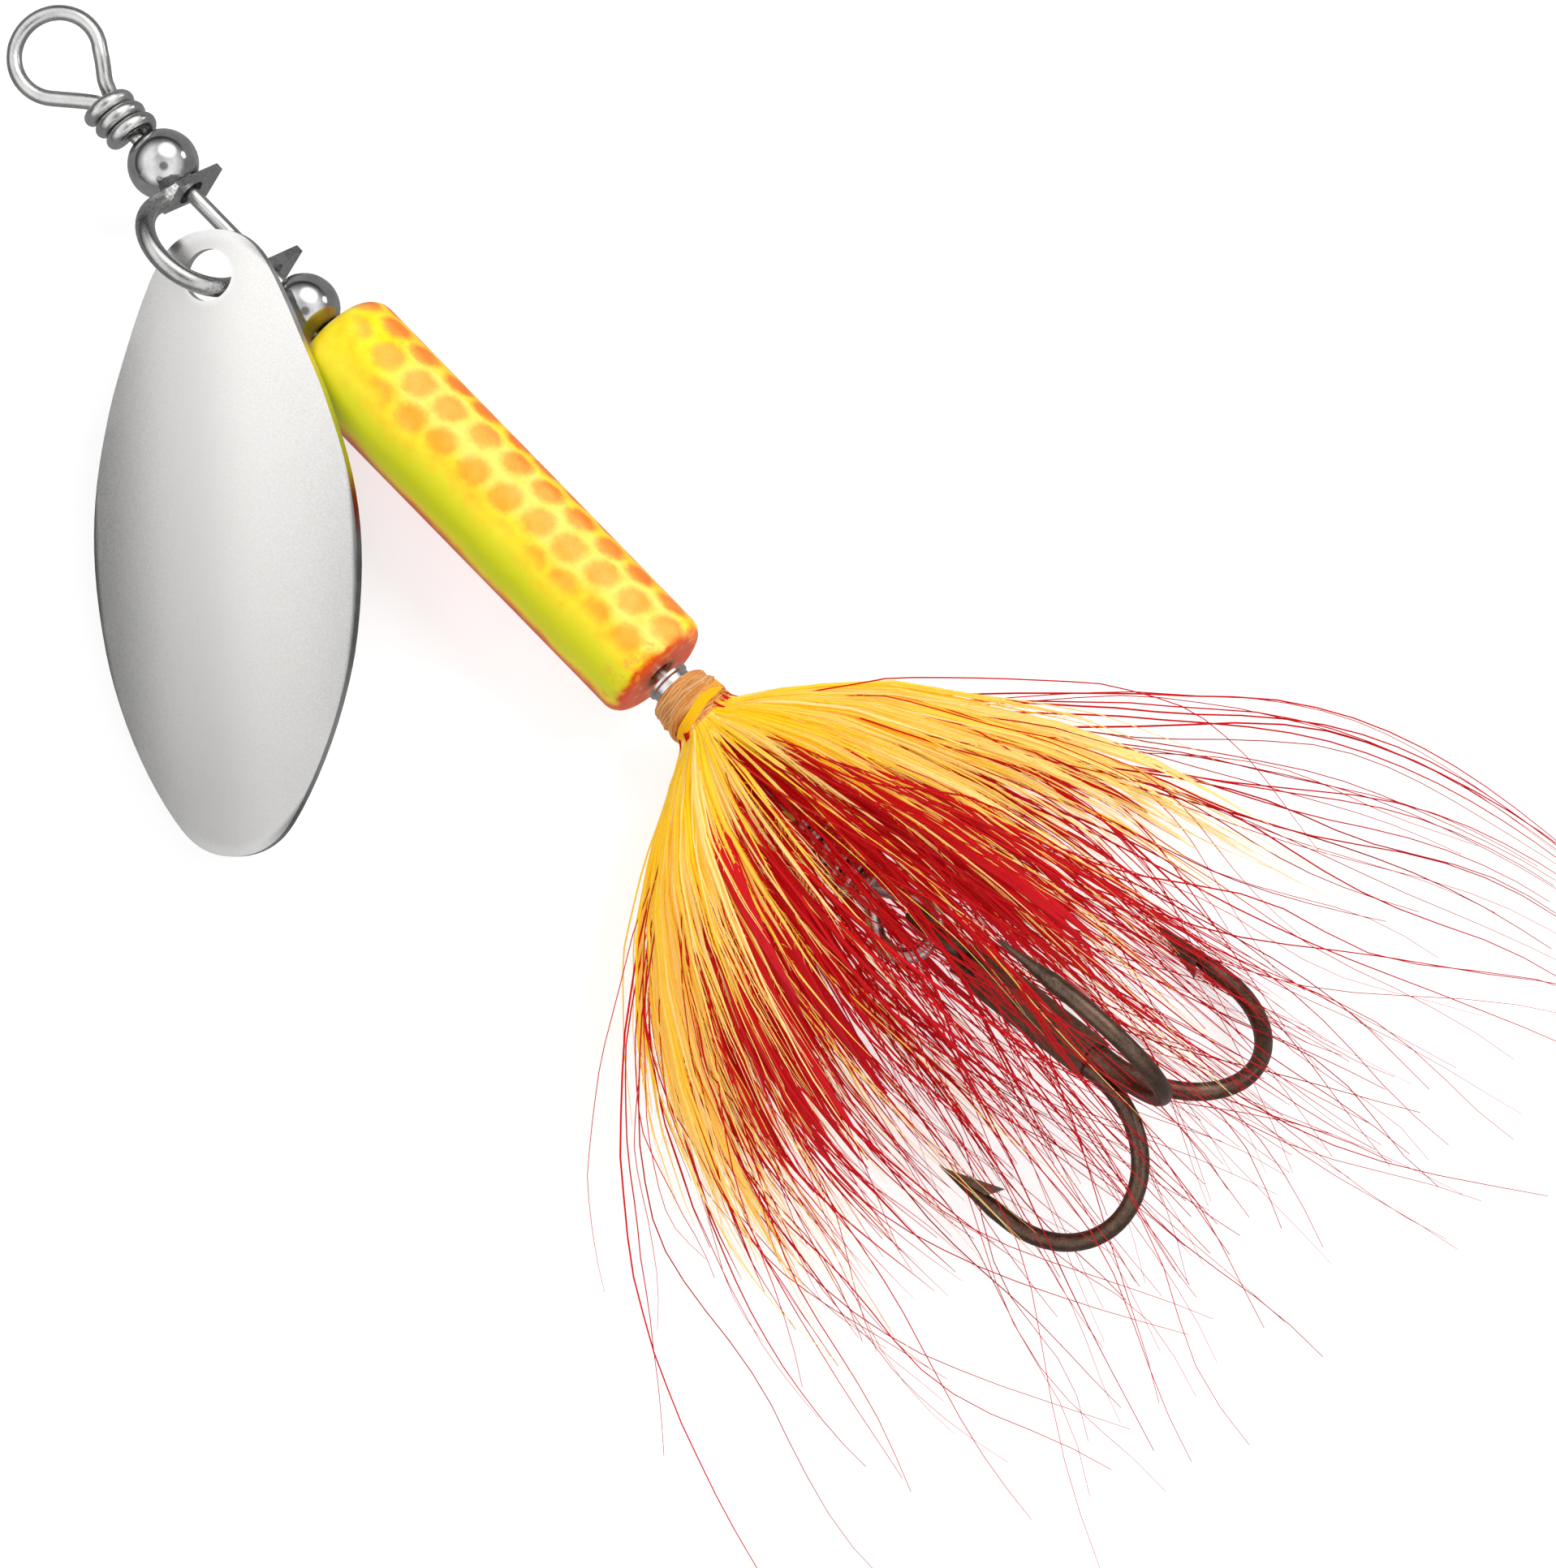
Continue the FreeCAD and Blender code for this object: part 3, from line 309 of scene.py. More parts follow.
def mat_blade():
    """Satin nickel with a polished rim: the rim follows the blade's outline, found from its own mesh."""
    m = Mat("nickel_blade")
    ob = nodes["blade"]
    co = np.array([v.co for v in ob.data.vertices], float) * 1000.0
    c0 = co.mean(0)
    # principal directions of the blade: longest is its length
    w, vec = np.linalg.eigh(np.cov((co - c0).T))
    long_dir = vec[:, 2] if vec[:, 2][0] > 0 else -vec[:, 2]
    out_dir = vec[:, 0] if vec[:, 0][2] > 0 else -vec[:, 0]
    side_dir = np.cross(out_dir, long_dir)
    loc = (co - c0) @ np.array([long_dir, side_dir, out_dir]).T
    l0, l1 = loc[:, 0].min(), loc[:, 0].max()
    half = np.abs(loc[:, 1]).max()
    mid = (l0 + l1) / 2
    p = m.scale(m.coord(), 1000.0)
    q = m.vmath("SUBTRACT", p, tuple(c0))
    u = m.math("SUBTRACT", m.vmath("DOT_PRODUCT", q, tuple(long_dir)), mid)
    v = m.vmath("DOT_PRODUCT", q, tuple(side_dir))
    un = m.math("DIVIDE", u, (l1 - l0) / 2)
    vn = m.math("DIVIDE", v, half)
    # pointed-oval distance: 1 on the outline
    e = m.math("ADD", m.math("POWER", m.math("ABSOLUTE", un), 2.15), m.math("POWER", m.math("ABSOLUTE", vn), 1.9))
    rim = m.smooth(e, 0.90, 1.0)
    # the hole, near the head end
    hole = np.array([12.94, -2.19, 3.42])
    hd = m.vmath("LENGTH", m.vmath("SUBTRACT", p, tuple(hole)))
    hole_rim = m.smooth(hd, 1.62, 1.22)
    grain = m.noise(p, 34.0, 2.0, 0.6)
    grain2 = m.noise(p, 11.0, 3.0, 0.6)
    brushed = m.noise(m.comb(m.math("MULTIPLY", u, 1.0), m.math("MULTIPLY", v, 9.0), 0.0), 1.1, 4.0, 0.6)
    cloud = m.noise(p, 0.22, 2.0, 0.5)
    # painted reflection: a darker band down the middle of the cupped blade
    band = m.smooth(m.math("ABSOLUTE", m.math("ADD", vn, 0.08)), 0.42, 0.0, 0.0, 0.38)
    polish = m.math("MAXIMUM", rim, hole_rim)
    # the right side is polished brighter, the left side satin
    right = m.smooth(m.math("ADD", vn, m.math("MULTIPLY", m.noise(p, 0.6, 2.0, 0.5), 0.25)), -0.3, 1.0)
    col = m.ramp(m.mixf(0.88, cloud, grain2), [(0.3, srgb(222, 221, 218)), (0.7, srgb(240, 239, 237))])
    col = m.mix(band, col, srgb(196, 195, 193))
    col = m.mix(m.math("MULTIPLY", polish, 0.35), col, srgb(206, 206, 208))
    # painted reflection: the blade's colour darkens towards the tail and lightens towards its right-hand side
    painted_reflection_fade = m.math("ADD", m.lin(un, -0.7, 0.8, 0.97, 0.64), m.smooth(vn, 0.15, 0.9, 0.0, 0.14))
    col = m.mix(1.0, col, m.comb(painted_reflection_fade, painted_reflection_fade, painted_reflection_fade), mode="MULTIPLY")
    # painted reflection: a dark, broken line along the blade's right-hand edge
    outline = m.math("MULTIPLY", m.smooth(e, 0.93, 0.985), m.smooth(vn, 0.15, 0.5, 0.0, 0.8))
    outline = m.math("MULTIPLY", outline, m.lin(brushed, 0.25, 0.6, 0.75, 1.0))
    col = m.mix(outline, col, srgb(66, 66, 68))
    rough = m.mixf(m.math("MULTIPLY", right, 0.4), m.lin(grain2, 0.3, 0.7, 0.34, 0.44), 0.26)
    rough = m.mixf(polish, rough, 0.12)
    h = m.math("ADD", m.math("MULTIPLY", grain, 0.6), m.math("MULTIPLY", brushed, 0.4))
    m.set(color=col, metallic=1.0, rough=rough, normal=m.bump(h, 0.16, 0.00003))
    return m.mat


def mat_ferrule():
    m = Mat("ferrule_metal")
    p = m.scale(m.coord(), 1000.0)
    turn = m.noise(m.scale(p, (12.0, 1.0, 1.0)), 1.4, 3.0, 0.5)
    fine = m.noise(p, 20.0, 3.0, 0.6)
    col = m.ramp(turn, [(0.3, srgb(186, 188, 192)), (0.7, srgb(226, 227, 230))])
    m.set(color=col, metallic=1.0, rough=m.lin(fine, 0.3, 0.7, 0.18, 0.32), normal=m.bump(m.mixf(0.5, turn, fine), 0.2, 0.00003))
    return m.mat


def mat_hook():
    m = Mat("bronze_hook")
    p = m.scale(m.coord(), 1000.0)
    fine = m.noise(p, 16.0, 5.0, 0.7)
    mid = m.noise(p, 3.2, 4.0, 0.6)
    big = m.noise(p, 0.55, 2.0, 0.5)
    spec = m.voronoi(p, 9.0)
    col = m.ramp(m.mixf(0.45, fine, mid), [(0.25, srgb(44, 32, 26)), (0.5, srgb(86, 66, 54)), (0.78, srgb(142, 116, 98))])
    col = m.mix(m.smooth(big, 0.45, 0.75, 0.0, 0.4), col, srgb(128, 100, 82))
    col = m.mix(m.smooth(spec, 0.22, 0.08, 0.0, 0.45), col, srgb(176, 146, 122))
    rough = m.lin(m.mixf(0.5, fine, mid), 0.3, 0.7, 0.24, 0.42)
    m.set(color=col, metallic=0.85, rough=rough, normal=m.bump(m.mixf(0.5, fine, spec), 0.3, 0.00003),
          coat=0.25, coat_rough=0.15)
    return m.mat


def mat_braze():
    m = Mat("bronze_braze")
    p = m.scale(m.coord(), 1000.0)
    fine = m.noise(p, 9.0, 5.0, 0.75)
    mid = m.noise(p, 2.2, 3.0, 0.6)
    pits = m.voronoi(p, 6.5)
    col = m.ramp(m.mixf(0.5, fine, mid), [(0.3, srgb(62, 46, 36)), (0.55, srgb(112, 88, 70)), (0.75, srgb(150, 122, 98))])
    h = m.math("ADD", fine, m.math("MULTIPLY", pits, 0.5))
    m.set(color=col, metallic=0.55, rough=m.lin(fine, 0.3, 0.7, 0.5, 0.72), normal=m.bump(h, 0.7, 0.00005))
    return m.mat


# ------------------------------------------------------------------ painted body
def mat_body():
    m = Mat("painted_body")
    p = m.scale(m.coord(), 1000.0)
    x, y, z = m.sep(p)
    # angle round the body in degrees: 0 on top, positive towards +Y
    ang = m.math("MULTIPLY", m.math("ARCTAN2", y, z), 180.0 / math.pi)
    wob = m.noise(p, 0.35, 2.0, 0.5)
    wob2 = m.noise(p, 1.1, 3.0, 0.55)
    speck = m.noise(p, 17.0, 3.0, 0.7)
    speck2 = m.noise(p, 30.0, 2.0, 0.6)
    mist = m.math("ADD", m.math("MULTIPLY", m.math("SUBTRACT", speck, 0.5), 1.0), m.math("MULTIPLY", m.math("SUBTRACT", speck2, 0.5), 0.6))
    a_w = m.math("ADD", ang, m.math("MULTIPLY", m.math("SUBTRACT", wob, 0.5), 22.0))
    a_m = m.math("ADD", a_w, m.math("MULTIPLY", mist, 26.0))
    base = m.ramp(m.math("ADD", wob2, m.math("MULTIPLY", mist, 0.12)),
                  [(0.30, srgb(250, 202, 4)), (0.5, srgb(250, 220, 8)), (0.72, srgb(248, 232, 28))])
    # painted highlight: pale cream between the spots on the upper +Y side, the side the key light falls on
    painted_light = m.math("MULTIPLY", m.smooth(a_w, -8.0, 18.0), m.smooth(a_w, 66.0, 46.0))
    painted_light = m.math("MULTIPLY", painted_light, m.smooth(x, 20.5, 23.5))
    painted_light = m.math("MULTIPLY", painted_light, m.lin(wob2, 0.3, 0.7, 0.40, 0.85))
    col = m.mix(painted_light, base, srgb(250, 224, 120))
    gold = m.smooth(a_w, 52.0, 84.0, 0.0, 0.85)
    col = m.mix(gold, col, srgb(250, 196, 6))
    # chartreuse flank stripe
    green = m.math("MULTIPLY", m.smooth(a_w, -70.0, -54.0), m.smooth(a_w, -12.0, -34.0))
    col = m.mix(m.math("MULTIPLY", green, 0.95), col, srgb(226, 224, 10))
    core = m.math("MULTIPLY", m.smooth(a_m, -64.0, -50.0), m.smooth(a_m, -34.0, -46.0))
    core = m.math("MULTIPLY", core, m.smooth(x, 37.5, 30.0, 0.35, 0.85))
    col = m.mix(m.math("MULTIPLY", core, 0.7), col, srgb(204, 216, 6))
    # orange-red belly, sprayed from below
    belly = m.math("MAXIMUM", m.smooth(a_m, -62.0, -80.0), m.smooth(a_m, 118.0, 150.0))
    belly_col = m.ramp(m.math("ADD", wob2, m.math("MULTIPLY", mist, 0.35)),
                       [(0.3, srgb(220, 62, 12)), (0.55, srgb(232, 90, 20)), (0.8, srgb(244, 132, 28))])
    col = m.mix(belly, col, belly_col)
    # spots: staggered rows that drift round the body
    row_step, pitch, drift = 35.0, 1.84, 2.62
    a_s = m.math("SUBTRACT", ang, m.math("MULTIPLY", m.math("SUBTRACT", x, 24.0), drift))
    rows = m.math("DIVIDE", m.math("ADD", a_s, 1.6), row_step)
    k = m.math("ROUND", rows)
    dv = m.math("MULTIPLY", m.math("SUBTRACT", rows, k), row_step * 2.7 * math.pi / 180.0)
    odd = m.math("ABSOLUTE", m.math("MODULO", k, 2.0))
    shift = m.math("MULTIPLY", odd, 0.5)
    cells = m.math("SUBTRACT", m.math("DIVIDE", m.math("SUBTRACT", x, 23.98), pitch), shift)
    c_id = m.math("ROUND", cells)
    du = m.math("MULTIPLY", m.math("SUBTRACT", cells, c_id), pitch)
    ident = m.comb(m.math("ADD", c_id, 31.7), m.math("ADD", k, 17.3), 4.1)
    rnd = m.white(ident)
    rnd2 = m.white(m.vmath("ADD", ident, (9.1, 3.3, 7.7)))
    du = m.math("ADD", du, m.math("MULTIPLY", m.math("SUBTRACT", rnd, 0.5), 0.16))
    dv = m.math("ADD", dv, m.math("MULTIPLY", m.math("SUBTRACT", rnd2, 0.5), 0.14))
    edge_noise = m.math("MULTIPLY", m.math("SUBTRACT", m.noise(p, 2.6, 3.0, 0.6), 0.5), 0.42)
    dist = m.math("SQRT", m.math("ADD", m.math("MULTIPLY", du, du), m.math("MULTIPLY", dv, dv)))
    dist = m.math("ADD", m.math("ADD", dist, edge_noise), m.math("MULTIPLY", mist, 0.20))
    spot = m.smooth(dist, 0.98, 0.46)
    keep = m.math("MULTIPLY", m.smooth(a_w, -16.0, 0.0), m.smooth(ang, 150.0, 120.0))
    start = m.smooth(m.math("ADD", x, m.math("MULTIPLY", ang, 0.075)), 20.4, 22.2, 0.15, 1.0)
    spot = m.math("MULTIPLY", m.math("MULTIPLY", spot, keep), start)
    dark = m.smooth(ang, 34.0, 66.0)
    spot_lo = m.ramp(m.math("ADD", wob2, m.math("MULTIPLY", mist, 0.45)),
                     [(0.28, srgb(248, 146, 4)), (0.5, srgb(246, 156, 18)), (0.75, srgb(246, 172, 60))])
    spot_hi = m.ramp(m.math("ADD", wob2, m.math("MULTIPLY", mist, 0.45)),
                     [(0.28, srgb(230, 104, 2)), (0.55, srgb(236, 122, 12)), (0.8, srgb(242, 152, 50))])
    # painted highlight: the spots turn paler on the lit upper side
    painted_spot_highlight = m.math("MULTIPLY", m.math("MULTIPLY", m.smooth(ang, 12.0, 26.0), m.smooth(ang, 62.0, 48.0)), m.lin(mist, -0.1, 0.25, 0.0, 0.7))
    spot_col = m.mix(dark, spot_lo, spot_hi)
    spot_col = m.mix(painted_spot_highlight, spot_col, srgb(242, 176, 112))
    col = m.mix(m.math("MULTIPLY", spot, m.mixf(dark, 0.82, 0.95)), col, spot_col)
    # the end faces are brushed orange-red, with the colours bleeding over the rim
    rr = m.math("SQRT", m.math("ADD", m.math("MULTIPLY", y, y), m.math("MULTIPLY", z, z)))
    end_tail = m.math("MULTIPLY", m.smooth(x, 38.88, 39.18), m.smooth(m.math("ADD", rr, m.math("MULTIPLY", m.math("SUBTRACT", wob2, 0.5), 0.8)), 2.55, 2.2))
    end_head = m.math("MULTIPLY", m.smooth(x, 18.75, 18.4), m.smooth(rr, 2.1, 1.6))
    col = m.mix(end_tail, col, m.ramp(wob2, [(0.3, srgb(214, 66, 18)), (0.7, srgb(232, 100, 38))]))
    col = m.mix(m.math("MULTIPLY", end_head, 0.7), col, srgb(246, 196, 40))
    rim = m.math("MULTIPLY", m.smooth(x, 37.6, 38.9), m.smooth(m.noise(p, 1.7, 3.0, 0.6), 0.5, 0.68, 0.0, 0.75))
    col = m.mix(rim, col, srgb(246, 160, 60))
    # painted shade: darker brown in and round the bore
    col = m.mix(m.smooth(rr, 1.0, 0.55, 0.0, 0.7), col, srgb(120, 84, 40))
    orange_peel = m.noise(p, 2.0, 2.0, 0.5)
    h = m.math("ADD", m.math("MULTIPLY", orange_peel, 0.8), m.math("MULTIPLY", mist, 0.12))
    h = m.math("ADD", h, m.math("MULTIPLY", spot, 0.05))
    rough = m.lin(m.math("ADD", wob2, m.math("MULTIPLY", mist, 0.3)), 0.2, 0.8, 0.30, 0.46)
    m.set(color=col, rough=rough, normal=m.bump(h, 0.16, 0.00006), spec=0.35, coat=0.18, coat_rough=0.14,
          sss=0.06, sss_scale=0.0004, sss_radius=(1.0, 0.6, 0.2))
    return m.mat


# ------------------------------------------------------------------ fibre materials
def mat_fibre(name, stops, dark, pale, rough=0.48, stripes=26.0, painted_light=0.16):
    """Colour from each barb's own shade and the place along it, with fine lengthwise streaks."""
    m = Mat(name)
    shade, along, across = m.attr("shade"), m.attr("along"), m.attr("across")
    p = m.scale(m.coord(), 1000.0)
    fine = m.noise(p, 9.0, 3.0, 0.6)
    streak = m.noise(m.comb(m.math("MULTIPLY", across, stripes), m.math("MULTIPLY", along, 3.0), m.math("MULTIPLY", shade, 40.0)), 1.0, 3.0, 0.6)
    t = m.math("ADD", m.math("MULTIPLY", along, 0.62), m.math("MULTIPLY", shade, 0.38))
    t = m.math("ADD", t, m.math("MULTIPLY", m.math("SUBTRACT", fine, 0.5), 0.22))
    col = m.ramp(t, stops)
    col = m.mix(m.smooth(shade, 0.72, 0.98, 0.0, 0.75), col, pale)
    col = m.mix(m.smooth(shade, 0.22, 0.02, 0.0, 0.75), col, dark)
    col = m.mix(m.smooth(streak, 0.42, 0.62, 0.0, 0.30), col, dark)
    col = m.mix(m.smooth(streak, 0.60, 0.78, 0.0, 0.35), col, pale)
    h = m.math("ADD", m.math("MULTIPLY", streak, 1.0), m.math("MULTIPLY", fine, 0.3))
    # painted glow: the barbs also emit a share of their own colour
    m.set(color=col, rough=m.lin(streak, 0.3, 0.7, rough - 0.08, rough + 0.12), spec=0.3,
          emit=col, emit_strength=painted_light, normal=m.bump(h, 0.30, 0.00004))
    # thin barbs let some light through
    tr = m.node("ShaderNodeBsdfTranslucent")
    m.link(col, tr.inputs["Color"])
    mixer = m.node("ShaderNodeMixShader")
    mixer.inputs[0].default_value = 0.36
    m.link(m.bsdf.outputs[0], mixer.inputs[1])
    m.link(tr.outputs[0], mixer.inputs[2])
    m.link(mixer.outputs[0], m.out.inputs[0])
    return m.mat


# the last number given to each material is the strength of its painted glow
YELLOW = mat_fibre("yellow_hackle",
                   [(0.05, srgb(255, 226, 8)), (0.25, srgb(255, 228, 30)), (0.52, srgb(254, 226, 92)), (0.85, srgb(252, 230, 166))],
                   srgb(252, 206, 20), srgb(255, 246, 190), painted_light=0.25)
RED = mat_fibre("red_hackle",
                [(0.05, srgb(216, 26, 24)), (0.40, srgb(228, 22, 26)), (0.70, srgb(220, 24, 38)), (0.98, srgb(196, 32, 54))],
                srgb(170, 16, 22), srgb(240, 70, 46), painted_light=0.18)
THREAD = mat_fibre("tying_thread",
                   [(0.08, srgb(234, 146, 58)), (0.26, srgb(252, 204, 128)), (0.44, srgb(238, 156, 66)), (0.62, srgb(253, 212, 138)), (0.80, srgb(240, 160, 70)), (0.95, srgb(252, 206, 130))],
                   srgb(196, 112, 42), srgb(255, 238, 190), rough=0.6, painted_light=0.04)
YARN = mat_fibre("yellow_yarn",
                 [(0.1, srgb(252, 208, 10)), (0.9, srgb(254, 216, 36))], srgb(240, 172, 8), srgb(255, 234, 100), rough=0.6, painted_light=0.14)


# ------------------------------------------------------------------ fibre geometry
def smooth_shade(me):
    me.polygons.foreach_set("use_smooth", np.ones(len(me.polygons), bool))


def build(name, verts, quads, tris, attrs, material):
    """A mesh object from arrays, in metres."""
    me = bpy.data.meshes.new(name)
    nv, nq, nt = len(verts), len(quads), len(tris)
    me.vertices.add(nv)
    me.vertices.foreach_set("co", (np.asarray(verts) * MM).astype(np.float32).ravel())
    loops = np.concatenate([np.asarray(quads, np.int32).ravel(), np.asarray(tris, np.int32).ravel()]).astype(np.int32)
    me.loops.add(len(loops))
    me.loops.foreach_set("vertex_index", loops)
    me.polygons.add(nq + nt)
    starts = np.concatenate([np.arange(nq) * 4, nq * 4 + np.arange(nt) * 3]).astype(np.int32)
    me.polygons.foreach_set("loop_start", starts)
    me.update(calc_edges=True)
    me.validate()
    for key, vals in attrs.items():
        a = me.attributes.new(key, "FLOAT", "POINT")
        a.data.foreach_set("value", np.asarray(vals, np.float32))
    smooth_shade(me)
    ob = bpy.data.objects.new(name, me)
    scene.collection.objects.link(ob)
    me.materials.append(material)
    return ob


def sweep(P, W, H, sides, shade, out_hint=None, roll=None, closed_tip=True):
    """Solid swept strands. P (N,M,3) centre lines, W and H (N,M) half width and half height.
    Returns verts, quads, tris, attrs."""
    N, M, _ = P.shape
    T = np.empty_like(P)
    T[:, 1:-1] = P[:, 2:] - P[:, :-2]
    T[:, 0] = P[:, 1] - P[:, 0]
    T[:, -1] = P[:, -1] - P[:, -2]
    T /= np.linalg.norm(T, axis=2, keepdims=True) + 1e-12
    if out_hint is None:
        out_hint = np.concatenate([np.zeros((N, M, 1)), P[:, :, 1:]], axis=2)
        out_hint /= np.linalg.norm(out_hint, axis=2, keepdims=True) + 1e-9
        out_hint = out_hint * 0.6 + np.array([0, 0, 0.8])
    S = np.cross(T, out_hint)
    S /= np.linalg.norm(S, axis=2, keepdims=True) + 1e-12
    O = np.cross(S, T)
    if roll is not None:
        c, s = np.cos(roll)[:, None, None], np.sin(roll)[:, None, None]
        S, O = S * c + O * s, O * c - S * s
    ang = np.arange(sides) * 2 * np.pi / sides + (0.5 * np.pi if sides == 3 else 0.0)
    V = (P[:, :, None, :] + S[:, :, None, :] * (W[:, :, None, None] * np.cos(ang)[None, None, :, None])
         + O[:, :, None, :] * (H[:, :, None, None] * np.sin(ang)[None, None, :, None]))
    verts = V.reshape(-1, 3)
    base = (np.arange(N) * M * sides)[:, None, None]
    ring = (np.arange(M - 1) * sides)[None, :, None]
    j = np.arange(sides)[None, None, :]
    j2 = (j + 1) % sides
    a = base + ring + j
    b = base + ring + j2
    quads = np.stack([a, b, b + sides, a + sides], axis=-1).reshape(-1, 4)
    caps = []
    for k in range(1, sides - 1):
        f = (np.arange(N) * M * sides)
        caps.append(np.stack([f, f + k + 1, f + k], axis=-1))
        g = f + (M - 1) * sides
        caps.append(np.stack([g, g + k, g + k + 1], axis=-1))
    tris = np.concatenate(caps)
    along = np.broadcast_to(np.linspace(0, 1, M)[None, :, None], (N, M, sides)).ravel()
    across = np.broadcast_to((0.5 + 0.5 * np.cos(ang))[None, None, :], (N, M, sides)).ravel()
    sh = np.broadcast_to(np.asarray(shade)[:, None, None], (N, M, sides)).ravel()
    return verts, quads, tris, {"along": along, "across": across, "shade": sh}


def merge(parts):
    verts, quads, tris, attrs, off = [], [], [], {}, 0
    for v, q, t, a in parts:
        if len(v) == 0:
            continue
        verts.append(v)
        quads.append(q + off)
        tris.append(t + off)
        for k, x in a.items():
            attrs.setdefault(k, []).append(x)
        off += len(v)
    return np.concatenate(verts), np.concatenate(quads), np.concatenate(tris), {k: np.concatenate(x) for k, x in attrs.items()}


# Half width of the skirt seen from above, against x (mm).
EX = np.array([41.2, 42.2, 42.95, 43.6, 45.1, 47.3, 50.5, 54.0, 57.9, 61.0, 64.0, 68.0, 72.0, 76.0, 82.0])
EL = np.array([1.10, 1.22, 1.95, 3.20, 5.45, 8.20, 10.9, 13.1, 14.9, 15.8, 16.4, 17.0, 17.3, 17.4, 17.4])
ER = np.array([1.10, 1.22, 1.80, 2.95, 4.70, 6.90, 9.00, 11.2, 13.0, 13.9, 14.6, 15.6, 16.6, 17.2, 17.6])
ZTOP = np.array([1.10, 1.22, 1.75, 2.50, 3.60, 4.80, 6.00, 7.00, 7.80, 8.20, 8.20, 7.60, 6.60, 5.40, 4.00])
FZ = FLOOR_Z * 1000.0 + 0.10


def paths(cy, cz, xe, M, bow=0.0, drift=0.0, lift=0.0, wave=0.0, k=1.0, droop=0.0, under=0.0):
    """Centre lines (N,M,3) of barbs that leave the binding at the direction (cy, cz) and follow the skirt."""
    N = len(cy)
    s = np.linspace(0, 1, M)[None, :] ** 1.25
    x = 41.3 + (np.asarray(xe)[:, None] - 41.3) * s
    rho = np.maximum(np.hypot(cy, cz), 1e-3)
    uy, uz = cy / rho, cz / rho
    side = np.where(cy[:, None] >= 0, np.interp(x, EX, ER), np.interp(x, EX, EL))
    top = np.interp(x, EX, ZTOP)
    r0 = 1.12
    near = np.clip((x - 42.0) / 2.6, 0, 1)
    kk = np.asarray(k)[:, None] if np.ndim(k) else k
    # the inner layer leaves the binding under the outer one and comes out further on
    grow = 1.0 - under * np.exp(-np.clip(x - 42.5, 0, None) / 3.6)
    y = uy[:, None] * (r0 + (side - r0) * rho[:, None] * kk * grow)
    z = uz[:, None] * (r0 + (top - r0) * rho[:, None] * grow)
    f = np.clip((x - 43.0) / 25.0, 0, 1.6)
    y = y + np.asarray(drift)[:, None] * f + np.asarray(bow)[:, None] * f * f if np.ndim(bow) or np.ndim(drift) else y
    z = z + (np.asarray(lift)[:, None] * f if np.ndim(lift) else 0.0)
    if np.ndim(droop):
        z = z - np.asarray(droop)[:, None] * np.clip((x - 56.0) / 20.0, 0, 1.5) ** 1.5
    if np.ndim(wave):
        ph = rng.uniform(0, 6.28, (N, 1))
        fr = rng.uniform(0.12, 0.30, (N, 1))
        y = y + np.asarray(wave)[:, None] * near * np.sin(ph + fr * (x - 42) * 2)
        z = z + np.asarray(wave)[:, None] * 0.7 * near * np.cos(1.3 * ph + fr * 1.7 * (x - 42) * 2)
    # the bottom lies on the floor
    depth = -FZ
    z = np.where(z < 0, -depth * (1 - np.exp(z / (depth * 0.85))), z)
    z = np.maximum(z, FZ + 0.02)
    # no barb strays far from the skirt
    over = np.clip(y - 17.0, 0, None)
    y = y - over + 6.0 * (1 - np.exp(-over / 6.0))
    return np.stack([x, y, z], axis=2)


# keep clear of the hook, the coil and the bead of braze
def solid_tree(names):
    vs, fs, off = [], [], 0
    for n in names:
        me = nodes[n].data
        vs += [tuple(v.co * 1000.0) for v in me.vertices]
        fs += [tuple(i + off for i in p.vertices) for p in me.polygons]
        off += len(me.vertices)
    return BVHTree.FromPolygons(vs, fs)


TREE = solid_tree(["double_hook", "single_hook", "shank_braze", "shaft_wire"])


def keep_clear(P, gap):
    """Pushes the points of the lines out of the metal, then eases the lines next to them."""
    N, M, _ = P.shape
    g = gap if np.ndim(gap) else np.full(N, gap)
    for it in range(2):
        moved = np.zeros_like(P)
        for i in range(N):
            for j in range(3, M):
                x, y, z = P[i, j]
                if x < 44.0 or x > 72.2 or abs(y) > 9.6 or z > 11.2:
                    continue
                loc, nrm, idx, d = TREE.find_nearest((x, y, z), 1.0)
                if loc is None:
                    continue
                v = np.array((x - loc[0], y - loc[1], z - loc[2]))
                n = np.array(nrm)
                inside = v @ n < 0
                want = g[i]
                if inside:
                    moved[i, j] = n * (d + want)
                elif d < want:
                    moved[i, j] = (v / (d + 1e-9)) * (want - d)
        if not np.any(moved):
            break
        e = moved.copy()
        e[:, 1:] = np.where(np.abs(e[:, 1:]) < 1e-9, 0.55 * moved[:, :-1], e[:, 1:])
        e[:, :-1] = np.where(np.abs(e[:, :-1]) < 1e-9, 0.55 * moved[:, 1:], e[:, :-1])
        P = P + e
        P[:, :, 2] = np.maximum(P[:, :, 2], FZ)
    return P


def taper(M, w, root=0.5, tip=0.12, belly=0.35):
    s = np.linspace(0, 1, M)[None, :]
    up = root + (1 - root) * np.clip(s / belly, 0, 1) ** 0.8
    down = 1 - (1 - tip) * np.clip((s - belly) / (1 - belly), 0, 1) ** 1.6
    return np.asarray(w)[:, None] * up * down


